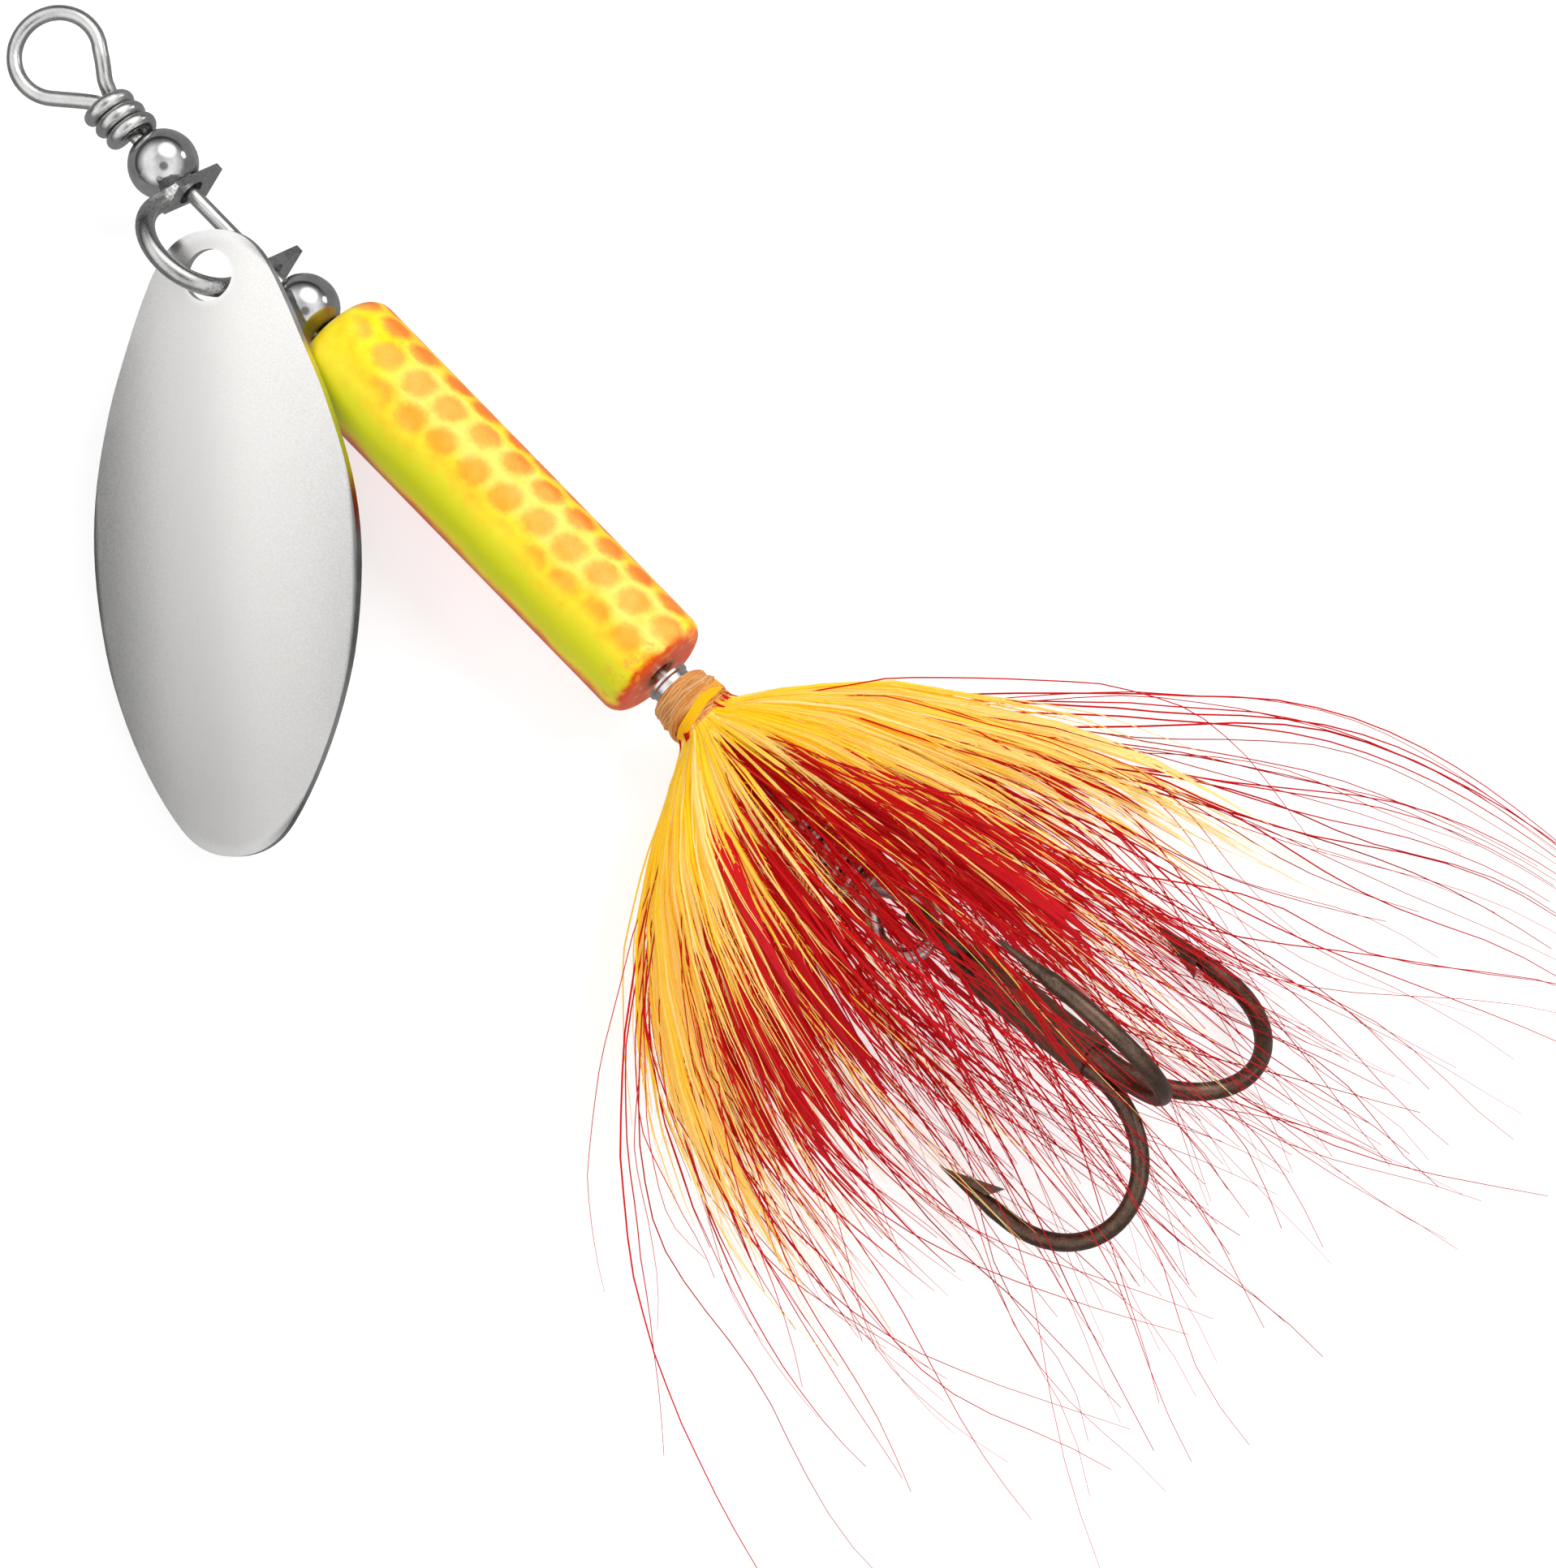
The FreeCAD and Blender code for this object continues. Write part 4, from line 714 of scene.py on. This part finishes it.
def disc(n, rho_lo, rho_hi, edge=1.0, low=0.25):
    """Directions in the skirt's cross-section: y spread evenly as seen from above, z up or down."""
    rho = np.sqrt(rng.uniform(rho_lo ** 2, rho_hi ** 2, n))
    y = rng.uniform(-1, 1, n)
    y = np.sign(y) * np.abs(y) ** edge
    zz = np.sqrt(np.maximum(0, 1 - y * y))
    down = rng.uniform(0, 1, n) < low
    zz = np.where(down, -zz, zz)
    return rho * y, rho * zz


def is_inner(P):
    """True where a barb runs through the space the hook sweeps."""
    far = P[:, :, 0] > 56.5
    r = np.hypot(P[:, :, 1], P[:, :, 2])
    return np.any(far & (r < 12.2), axis=1)


groups = {"yellow_out": [], "yellow_in": [], "red_out": [], "red_in": []}
stats = {}


def add(colour, P, W, H, sides, shade, roll=None):
    inner = is_inner(P)
    for flag, key in ((False, "_out"), (True, "_in")):
        pick = inner == flag
        if pick.any():
            groups[colour + key].append((P[pick], W[pick], H[pick], sides, np.asarray(shade)[pick], None if roll is None else roll[pick]))


def barbules(colour, P, W, every, length, shade, x_hi=56.0, per=1, radius=0.014):
    """Short side hairs along barbs, the fuzz of a hackle feather."""
    N, M, _ = P.shape
    out = []
    T = np.gradient(P, axis=1)
    seg = np.linalg.norm(T, axis=2)
    T = T / (seg[:, :, None] + 1e-9)
    total = np.sum(np.linalg.norm(np.diff(P, axis=1), axis=2), axis=1)
    for i in range(N):
        n = int(total[i] / every)
        if n < 2:
            continue
        t = np.sort(rng.uniform(0.06, 0.9, n)) * (M - 1)
        k = np.clip(t.astype(int), 0, M - 2)
        f = (t - k)[:, None]
        c = P[i, k] * (1 - f) + P[i, k + 1] * f
        ok = (c[:, 0] > 43.2) & (c[:, 0] < x_hi)
        c, k = c[ok], k[ok]
        if len(c) == 0:
            continue
        d = T[i, k]
        rnd = rng.normal(size=(len(c), 3))
        side = np.cross(d, rnd)
        side /= np.linalg.norm(side, axis=1, keepdims=True) + 1e-9
        side[:, 2] *= 0.6
        L = length * rng.uniform(0.5, 1.3, (len(c), 1))
        aim = d * rng.uniform(0.75, 1.25, (len(c), 1)) + side * rng.uniform(0.35, 0.8, (len(c), 1))
        aim /= np.linalg.norm(aim, axis=1, keepdims=True)
        mid = c + aim * L * 0.5
        end = c + (aim * 0.85 + d * 0.35) * L
        out.append((np.stack([c, mid, end], axis=1), np.full(len(c), shade[i])))
    if not out:
        return
    B = np.concatenate([o[0] for o in out])
    sh = np.clip(np.concatenate([o[1] for o in out]) + rng.normal(0, 0.12, len(B)), 0.02, 0.98)
    B[:, :, 2] = np.maximum(B[:, :, 2], FZ)
    w = np.full((len(B), 3), radius) * np.array([1.0, 0.8, 0.25])
    add(colour, B, w, w, 3, sh)



def tufts(n, count, rho_lo, rho_hi, edge, low, ends, spread, tight=0.07, loose=0.35):
    """Barbs gathered in tufts that share a direction, a reach and a curve, with some of their own."""
    ty, tz = disc(count, rho_lo, rho_hi, edge, low)
    tx = ends[0] + (ends[1] - ends[0]) * rng.beta(ends[2], ends[3], count)
    common = rng.normal(0, 1, (3, count)) * np.asarray(spread)[:, None]
    pick = rng.integers(0, count, n)
    free = rng.normal(0, 1, (3, n)) * np.asarray(spread)[:, None] * loose
    cy = ty[pick] + rng.normal(0, tight, n)
    cz = tz[pick] + rng.normal(0, tight, n)
    xe = tx[pick] + rng.normal(0, 1.7, n)
    bow, drift, lift = common[:, pick] + free
    return cy, cz, np.maximum(xe, ends[0] - 2.0), bow, drift, lift, pick


# --- red: broad flat blades under the yellow
n = 118
cy, cz, xe, bow, drift, lift, pick = tufts(n, 34, 0.50, 0.84, 0.72, 0.34, (52.0, 61.5, 1.6, 1.6), (0.7, 0.6, 0.4), tight=0.06)
# the middle of the top stays open, so that the coil and the shank show
open_mid = (cz > 0) & (np.abs(cy) < 0.24)
cy = np.where(open_mid, cy + np.sign(cy + 1e-6) * 0.26, cy)
P = paths(cy, cz, xe, 26, bow=bow, drift=drift, lift=lift - 0.2, under=0.30)
wide = rng.uniform(0.34, 0.92, n)
P = keep_clear(P, wide * 0.5 + 0.12)
W = taper(26, wide, root=0.30, tip=0.05, belly=0.45)
shade = rng.uniform(0.28, 0.74, n)
add("red", P, W, np.minimum(W * 0.10, 0.035), 8, shade, roll=rng.normal(0, 0.28, n))
barbules("red", P, W, 0.50, 0.6, shade, x_hi=60.0)

# --- red: strands
n = 280
cy, cz, xe, bow, drift, lift, pick = tufts(n, 34, 0.34, 0.98, 0.85, 0.34, (55.0, 73.0, 1.6, 1.6), (1.9, 1.8, 0.8), tight=0.06, loose=0.4)
open_mid = (cz > 0) & (np.abs(cy) < 0.16)
cy = np.where(open_mid & (rng.uniform(0, 1, n) < 0.7), cy + np.sign(cy + 1e-6) * 0.22, cy)
P = paths(cy, cz, xe, 24, bow=bow, drift=drift, lift=lift - 0.3, wave=rng.uniform(0.05, 0.3, n), droop=rng.uniform(0, 3.0, n), under=0.45)
w = rng.uniform(0.05, 0.14, n)
P = keep_clear(P, w + 0.05)
W = taper(24, w, root=0.6, tip=0.10, belly=0.35)
add("red", P, W, W * 0.5, 4, rng.uniform(0.05, 0.80, n), roll=rng.normal(0, 0.5, n))

# --- red: fine long hairs that stray and cross
n = 330
cy, cz, xe, bow, drift, lift, pick = tufts(n, 56, 0.26, 1.12, 0.90, 0.36, (58.0, 80.5, 1.5, 1.7), (3.0, 2.8, 1.0), tight=0.10, loose=0.55)
P = paths(cy, cz, xe, 26, bow=bow, drift=drift, lift=lift - 0.4, wave=rng.uniform(0.1, 0.55, n),
          k=np.where(cy < 0, rng.uniform(0.85, 1.38, n), rng.uniform(0.85, 1.2, n)), droop=rng.uniform(0.5, 5.0, n), under=0.55)
w = rng.uniform(0.028, 0.058, n)
P = keep_clear(P, w + 0.05)
W = taper(26, w, root=0.9, tip=0.35, belly=0.3)
add("red", P, W, W, 3, rng.uniform(0.0, 0.6, n))

# --- yellow: thick soft barbs, fullest at the two sides and thin over the top
n = 440
cy, cz, xe, bow, drift, lift, pick = tufts(n, 46, 0.78, 1.04, 0.30, 0.28, (49.0, 66.0, 1.6, 1.9), (0.9, 1.0, 0.5), tight=0.06, loose=0.45)
xe = 47 + (xe - 47) * (0.62 + 0.38 * np.abs(np.clip(cy, -1, 1)))
P = paths(cy, cz, xe, 22, bow=bow, drift=drift, lift=lift, wave=np.full(n, 0.08))
w = rng.uniform(0.05, 0.15, n)
P = keep_clear(P, w + 0.05)
W = taper(22, w, root=0.55, tip=0.10, belly=0.30)
shade = rng.uniform(0.05, 0.98, n)
add("yellow", P, W, W * 0.5, 4, shade, roll=rng.normal(0, 0.5, n))
barbules("yellow", P[:300], W[:300], 0.34, 0.42, shade[:300], x_hi=55.0)

# --- yellow: a thinner layer right across the top
n = 84
cy, cz, xe, bow, drift, lift, pick = tufts(n, 26, 0.90, 1.06, 0.80, 0.04, (47.0, 66.0, 1.2, 1.9), (1.2, 1.3, 0.5), tight=0.06, loose=0.6)
P = paths(cy, cz, xe, 22, bow=bow, drift=drift, lift=lift + 0.2, wave=np.full(n, 0.10))
w = rng.uniform(0.04, 0.10, n)
P = keep_clear(P, w + 0.05)
W = taper(22, w, root=0.7, tip=0.15, belly=0.30)
shade = rng.uniform(0.2, 0.98, n)
add("yellow", P, W, W * 0.55, 4, shade, roll=rng.normal(0, 0.5, n))
barbules("yellow", P[:110], W[:110], 0.5, 0.38, shade[:110], x_hi=54.0)

# --- yellow: short barbs that cover the binding's end
n = 250
cy, cz = disc(n, 0.86, 1.05, edge=0.62, low=0.3)
xe = 45.5 + 7.5 * rng.beta(1.3, 2.0, n)
P = paths(cy, cz, xe, 14, bow=rng.normal(0, 0.3, n), drift=rng.normal(0, 0.4, n), lift=rng.normal(0, 0.3, n))
w = rng.uniform(0.06, 0.15, n)
P = keep_clear(P, w + 0.05)
W = taper(14, w, root=0.6, tip=0.08, belly=0.30)
add("yellow", P, W, W * 0.5, 4, rng.uniform(0.2, 0.98, n), roll=rng.normal(0, 0.4, n))

# --- yellow: broad tips of whole small feathers at the sides
n = 40
cy, cz = disc(n, 0.84, 1.0, edge=0.22, low=0.3)
xe = rng.uniform(52, 63, n)
P = paths(cy, cz, xe, 24, bow=rng.normal(0, 0.6, n), drift=rng.normal(0, 0.5, n), lift=rng.normal(0, 0.5, n))
w = rng.uniform(0.20, 0.40, n)
P = keep_clear(P, w * 0.6 + 0.1)
W = taper(24, w, root=0.4, tip=0.05, belly=0.40)
shade = rng.uniform(0.3, 0.98, n)
add("yellow", P, W, np.minimum(W * 0.15, 0.04), 8, shade, roll=rng.normal(0, 0.4, n))
barbules("yellow", P, W, 0.22, 0.6, shade, x_hi=60.0)

# --- yellow: thin strands over everything
n = 270
cy, cz, xe, bow, drift, lift, pick = tufts(n, 50, 0.55, 1.06, 0.55, 0.35, (51.0, 71.0, 1.5, 2.0), (1.3, 1.4, 0.8), tight=0.10, loose=0.6)
P = paths(cy, cz, xe, 22, bow=bow, drift=drift, lift=lift, wave=rng.uniform(0.05, 0.25, n), droop=rng.uniform(0, 3, n))
w = rng.uniform(0.028, 0.065, n)
P = keep_clear(P, w + 0.05)
W = taper(22, w, root=0.8, tip=0.2, belly=0.3)
add("yellow", P, W, W, 3, rng.uniform(0.25, 0.98, n))


def make_pieces(key, colour_name, material, count, inner):
    """Splits a group's barbs by direction into as many pieces as there are CAD feathers of that colour."""
    buckets = [[] for _ in range(count)]
    for P, W, H, sides, shade, roll in groups[key]:
        a = np.degrees(np.arctan2(P[:, -1, 2], P[:, -1, 1])) % 360.0
        which = np.clip((a / 360.0 * count).astype(int), 0, count - 1)
        for b in range(count):
            pick = which == b
            if pick.any():
                buckets[b].append(sweep(P[pick], W[pick], H[pick], sides, shade[pick], roll=None if roll is None else roll[pick]))
    obs = []
    for b, parts in enumerate(buckets):
        if parts:
            v, q, t, a = merge(parts)
            obs.append(build("%s_%d" % (colour_name, b + 1), v, q, t, a, material))
    return obs


yellow_nodes = sorted((n for n in nodes if n.startswith("yellow_feather")))
red_nodes = sorted((n for n in nodes if n.startswith("red_feather")))
made_y = make_pieces("yellow_out", "yellow_barbs", YELLOW, len(yellow_nodes), False)
made_r = make_pieces("red_out", "red_barbs", RED, len(red_nodes), False)
for obs, names, slot in ((made_y, yellow_nodes, "yellow_hackle"), (made_r, red_nodes, "red_hackle")):
    for i, ob in enumerate(obs):
        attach(ob, "hackle")
        mine = names[i::len(obs)]
        if mine:
            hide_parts(*mine)
for key, nm, mat, slot in (("yellow_in", "yellow_inner_barbs", YELLOW, "yellow_hackle"), ("red_in", "red_inner_barbs", RED, "red_hackle")):
    for ob in make_pieces(key, nm, mat, 4, True):
        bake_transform(ob)


# ------------------------------------------------------------------ binding thread
def wrap_radius(x):
    """Outside of the binding, a barrel with a soft waist."""
    s = np.clip((x - 40.25) / 2.70, 0, 1)
    return 1.30 + 0.30 * np.sin(np.pi * np.clip(s * 0.92 + 0.05, 0, 1)) ** 0.55


def strand(x0, x1, turns, phase, lift, w, h, shade, wob=0.04, sides=5, tilt=0.0):
    n = int(max(24, 44 * abs(turns)))
    t = np.linspace(0, 1, n)
    a = phase + 2 * np.pi * turns * t
    x = x0 + (x1 - x0) * t + tilt * np.sin(a) + wob * np.sin(5.3 * a + phase * 3)
    x = np.clip(x, 40.30, 42.92)
    r = wrap_radius(x) - 0.17 + lift + wob * 0.4 * np.sin(7.1 * a + phase)
    P = np.stack([x, r * np.cos(a), r * np.sin(a)], axis=1)[None]
    ends = np.clip(np.minimum(t, 1 - t) * n / 4.0, 0.25, 1.0)
    out = np.stack([np.zeros(n), np.cos(a), np.sin(a)], axis=1)[None]
    return sweep(P, (w * ends)[None], (h * ends)[None], sides, np.array([shade]), out_hint=out)


parts = []
for i in range(17):                       # under layers, nearly square to the shaft
    x = 40.42 + 2.36 * i / 16.0
    for f in range(4):
        parts.append(strand(x + 0.045 * f, x + 0.045 * f + rng.normal(0.12, 0.03), 1.25, rng.uniform(0, 6.28), rng.uniform(-0.05, 0.05),
                            rng.uniform(0.040, 0.065), 0.05, rng.uniform(0.1, 0.95), tilt=rng.normal(0, 0.05)))
for i in range(10):                       # slanted bands of floss crossing them
    x = 40.5 + rng.uniform(0, 1.7)
    ph = rng.uniform(0, 6.28)
    sl = rng.uniform(0.30, 0.55) * (1 if i % 3 else -1)
    for f in range(6):
        parts.append(strand(x + 0.05 * f, x + 0.05 * f + 0.35, 0.9, ph + rng.normal(0, 0.06), 0.05 + rng.uniform(0, 0.09),
                            rng.uniform(0.030, 0.055), 0.04, rng.uniform(0.15, 0.98), tilt=sl, wob=0.02))
v, q, t, a = merge(parts)
binding = build("thread_turns", v, q, t, a, THREAD)

# a core under the turns, so that no gap shows the inside
s = np.linspace(0, 1, 26)
xs = 40.30 + 2.62 * s
core = np.stack([xs, np.zeros(26), np.zeros(26)], axis=1)[None]
rad = wrap_radius(xs) - 0.20
rad[0], rad[-1] = 1.08, 1.20
v, q, t, a = sweep(core, rad[None], rad[None], 40, np.array([0.35]), out_hint=np.broadcast_to(np.array([0, 0, 1.0]), core.shape))
thread_core = build("thread_core", v, q, t, a, THREAD)

parts = []
for f in range(9):                        # the yellow yarn that crosses the binding once
    parts.append(strand(41.15 + 0.055 * f, 42.3 + 0.045 * f, 0.62, -0.5 + rng.normal(0, 0.03), 0.10 + rng.uniform(0, 0.04), 0.042, 0.042,
                        rng.uniform(0.2, 0.9), wob=0.02))
v, q, t, a = merge(parts)
yarn = build("yellow_yarn_turn", v, q, t, a, YARN)

# the loose tail of the thread: two plies twisted together
parts = []
n = 90
t_ = np.linspace(0, 1, n)
tail_x = 42.6 + 9.6 * t_
tail_y = -0.9 - 1.15 * t_ + 0.35 * np.sin(3.0 * t_)
tail_z = 1.2 + 3.0 * np.sin(1.45 * t_)
for ply in range(3):
    a_ = 2 * np.pi * (11.0 * t_ + ply / 3.0)
    fray = 1 + 1.6 * np.clip((t_ - 0.86) / 0.14, 0, 1)
    P = np.stack([tail_x, tail_y + 0.075 * fray * np.cos(a_), tail_z + 0.075 * fray * np.sin(a_)], axis=1)[None]
    W = (0.075 * np.clip(1.25 - t_ ** 6, 0.2, 1))[None]
    parts.append(sweep(P, W, W, 6, np.array([0.3 + 0.25 * ply])))
v, q, t, a = merge(parts)
tail = build("thread_tail", v, q, t, a, THREAD)

for ob in (binding, thread_core, yarn, tail):
    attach(ob, "hackle")
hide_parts("thread_wrap")

# ------------------------------------------------------------------ CAD nodes that stay
assign("shaft_wire", mat_wire())
assign("upper_bead", mat_bead(7.05))
assign("lower_bead", mat_bead(16.35))
assign("clevis", mat_clevis())
assign("blade", mat_blade())
assign("body", mat_body())
assign("ferrule", mat_ferrule())
hook_mat = mat_hook()
assign("double_hook", hook_mat)
assign("single_hook", hook_mat)
assign("shank_braze", mat_braze())
for n in ("shaft_wire", "upper_bead", "lower_bead", "clevis", "blade", "body", "ferrule", "double_hook", "single_hook", "shank_braze"):
    smooth_shade(nodes[n].data)

# ------------------------------------------------------------------ floor, light, camera
def floor():
    bpy.ops.mesh.primitive_plane_add(size=6.0, location=(0, 0, FLOOR_Z))
    ob = bpy.context.object
    ob.name = "floor"
    m = Mat("floor_white")
    geo = m.node("ShaderNodeNewGeometry")
    m.set(color=(0.50, 0.50, 0.50), rough=0.6, spec=0.1, emit=(1.0, 1.0, 1.0), emit_strength=0.66)
    # polished metal sees a duller ground, as it does over a lit sweep of paper
    dull = m.node("ShaderNodeEmission")
    dull.inputs["Color"].default_value = (0.30, 0.30, 0.305, 1.0)
    rays = m.node("ShaderNodeLightPath")
    seen = m.node("ShaderNodeMixShader")
    m.link(rays.outputs["Is Glossy Ray"], seen.inputs[0])
    m.link(m.bsdf.outputs[0], seen.inputs[1])
    m.link(dull.outputs[0], seen.inputs[2])
    tr = m.node("ShaderNodeBsdfTransparent")
    mx = m.node("ShaderNodeMixShader")
    m.link(geo.outputs["Backfacing"], mx.inputs[0])
    m.link(seen.outputs[0], mx.inputs[1])
    m.link(tr.outputs[0], mx.inputs[2])
    m.link(mx.outputs[0], m.out.inputs[0])
    ob.data.materials.append(m.mat)
    return ob


floor()

PHI, TH = math.radians(13.0), math.radians(45.7)
e1 = Vector((math.cos(PHI), 0, -math.sin(PHI)))
e2 = Vector((0, 1, 0))
look = Vector((-math.sin(PHI), 0, -math.cos(PHI)))
right = e1 * math.cos(TH) + e2 * math.sin(TH)
up = -e1 * math.sin(TH) + e2 * math.cos(TH)
cam_data = bpy.data.cameras.new("camera")
cam = bpy.data.objects.new("camera", cam_data)
scene.collection.objects.link(cam)
cam.matrix_world = Matrix(((right[0], up[0], -look[0], 133.333 * MM), (right[1], up[1], -look[1], 0.3137 * MM),
                           (right[2], up[2], -look[2], 376.107 * MM), (0, 0, 0, 1)))
cam_data.sensor_width = 36.0
cam_data.sensor_fit = "AUTO"
cam_data.lens = 205.86
cam_data.clip_start, cam_data.clip_end = 0.01, 20.0
scene.camera = cam

CENTRE = Vector((0.036, -0.002, 0.0))


def area(name, a, b, c, dist, size, power, size_y=None, colour=(1, 1, 1)):
    """A soft light at right*a + up*b - look*c from the middle of the object."""
    d = (right * a + up * b - look * c).normalized()
    ld = bpy.data.lights.new(name, "AREA")
    ld.shape = "RECTANGLE" if size_y else "SQUARE"
    ld.size = size
    if size_y:
        ld.size_y = size_y
    ld.energy = power
    ld.color = colour
    ob = bpy.data.objects.new(name, ld)
    scene.collection.objects.link(ob)
    ob.location = CENTRE + d * dist
    ob.rotation_mode = "QUATERNION"
    ob.rotation_quaternion = (-d).to_track_quat("-Z", "Y")
    ob.visible_glossy = False
    return ob


area("key", 0.75, 0.62, 1.0, 0.55, 0.26, 2.1)
area("fill", -0.9, 0.35, 0.9, 0.7, 0.45, 0.9)
area("top", 0.05, -0.25, 1.0, 0.8, 0.5, 1.2)

world = bpy.data.worlds.new("studio")
scene.world = world
world.use_nodes = True
wt = world.node_tree
wt.nodes.clear()
w_out = wt.nodes.new("ShaderNodeOutputWorld")
bg_light = wt.nodes.new("ShaderNodeBackground")
bg_gloss = wt.nodes.new("ShaderNodeBackground")
path = wt.nodes.new("ShaderNodeLightPath")
mixw = wt.nodes.new("ShaderNodeMixShader")
tc = wt.nodes.new("ShaderNodeTexCoord")


def w_math(op, a, b=None, clamp=False):
    n = wt.nodes.new("ShaderNodeMath")
    n.operation = op
    n.use_clamp = clamp
    for i, v in enumerate((a, b)):
        if v is None:
            continue
        if isinstance(v, bpy.types.NodeSocket):
            wt.links.new(v, n.inputs[i])
        else:
            n.inputs[i].default_value = v
    return n.outputs[0]


def w_dot(vec):
    n = wt.nodes.new("ShaderNodeVectorMath")
    n.operation = "DOT_PRODUCT"
    wt.links.new(tc.outputs["Generated"], n.inputs[0])
    n.inputs[1].default_value = tuple(vec)
    return n.outputs["Value"]


def w_step(v, a, b, lo, hi):
    n = wt.nodes.new("ShaderNodeMapRange")
    n.interpolation_type = "SMOOTHSTEP"
    wt.links.new(v, n.inputs["Value"])
    for key, val in (("From Min", a), ("From Max", b), ("To Min", lo), ("To Max", hi)):
        n.inputs[key].default_value = val
    return n.outputs[0]


def towards(a, b, c):
    return (right * a + up * b - look * c).normalized()


# What polished metal mirrors: a grey room, brighter to the right, with a softbox and a small lamp.
w_c = w_dot(-look)
w_a = w_dot(right)
ramp = wt.nodes.new("ShaderNodeValToRGB")
wt.links.new(w_math("MULTIPLY_ADD", w_c, 0.5), ramp.inputs[0])
ramp.inputs[0].links[0].from_node.inputs[2].default_value = 0.5
cr = ramp.color_ramp
cr.elements[0].position = 0.0
cr.elements[0].color = (0.20, 0.20, 0.20, 1)
cr.elements[1].position = 1.0
cr.elements[1].color = (0.86, 0.86, 0.86, 1)
for pos, val in ((0.50, 0.05), (0.64, 0.42), (0.76, 0.94), (0.86, 1.00), (0.94, 0.92)):
    e = cr.elements.new(pos)
    e.color = (val, val, val, 1)
tone = w_math("ADD", w_math("MULTIPLY", w_step(w_a, -0.10, 0.50, 0.0, 0.50), w_step(w_c, 0.50, 0.78, 0.0, 1.0)), 1.0)
tone = w_math("MULTIPLY", tone, w_step(w_a, -0.62, -0.12, 1.42, 1.0))
box = w_step(w_dot(towards(0.256, 0.695, 0.67)), 0.85, 0.95, 0.0, 1.4)
small = w_step(w_dot(towards(0.90, 0.40, 0.18)), 0.985, 0.995, 0.0, 3.0)
back = w_step(w_dot(towards(0.10, -0.16, 0.98)), 0.955, 0.985, 1.0, 0.30)
level = w_math("MULTIPLY", w_math("MULTIPLY", ramp.outputs[0], tone), back)
level = w_math("ADD", w_math("ADD", level, box), small)
wt.links.new(level, bg_gloss.inputs["Color"])
bg_gloss.inputs["Strength"].default_value = 1.0
bg_light.inputs["Color"].default_value = (0.93, 0.94, 0.96, 1)
bg_light.inputs["Strength"].default_value = 0.46
wt.links.new(path.outputs["Is Glossy Ray"], mixw.inputs[0])
wt.links.new(bg_light.outputs[0], mixw.inputs[1])
wt.links.new(bg_gloss.outputs[0], mixw.inputs[2])
# the camera itself sees plain white beyond the floor
bg_seen = wt.nodes.new("ShaderNodeBackground")
bg_seen.inputs["Color"].default_value = (1.0, 1.0, 1.0, 1)
mixc = wt.nodes.new("ShaderNodeMixShader")
wt.links.new(path.outputs["Is Camera Ray"], mixc.inputs[0])
wt.links.new(mixw.outputs[0], mixc.inputs[1])
wt.links.new(bg_seen.outputs[0], mixc.inputs[2])
wt.links.new(mixc.outputs[0], w_out.inputs[0])

scene.view_settings.view_transform = "Standard"
scene.view_settings.look = "None"
scene.view_settings.exposure = 0.0
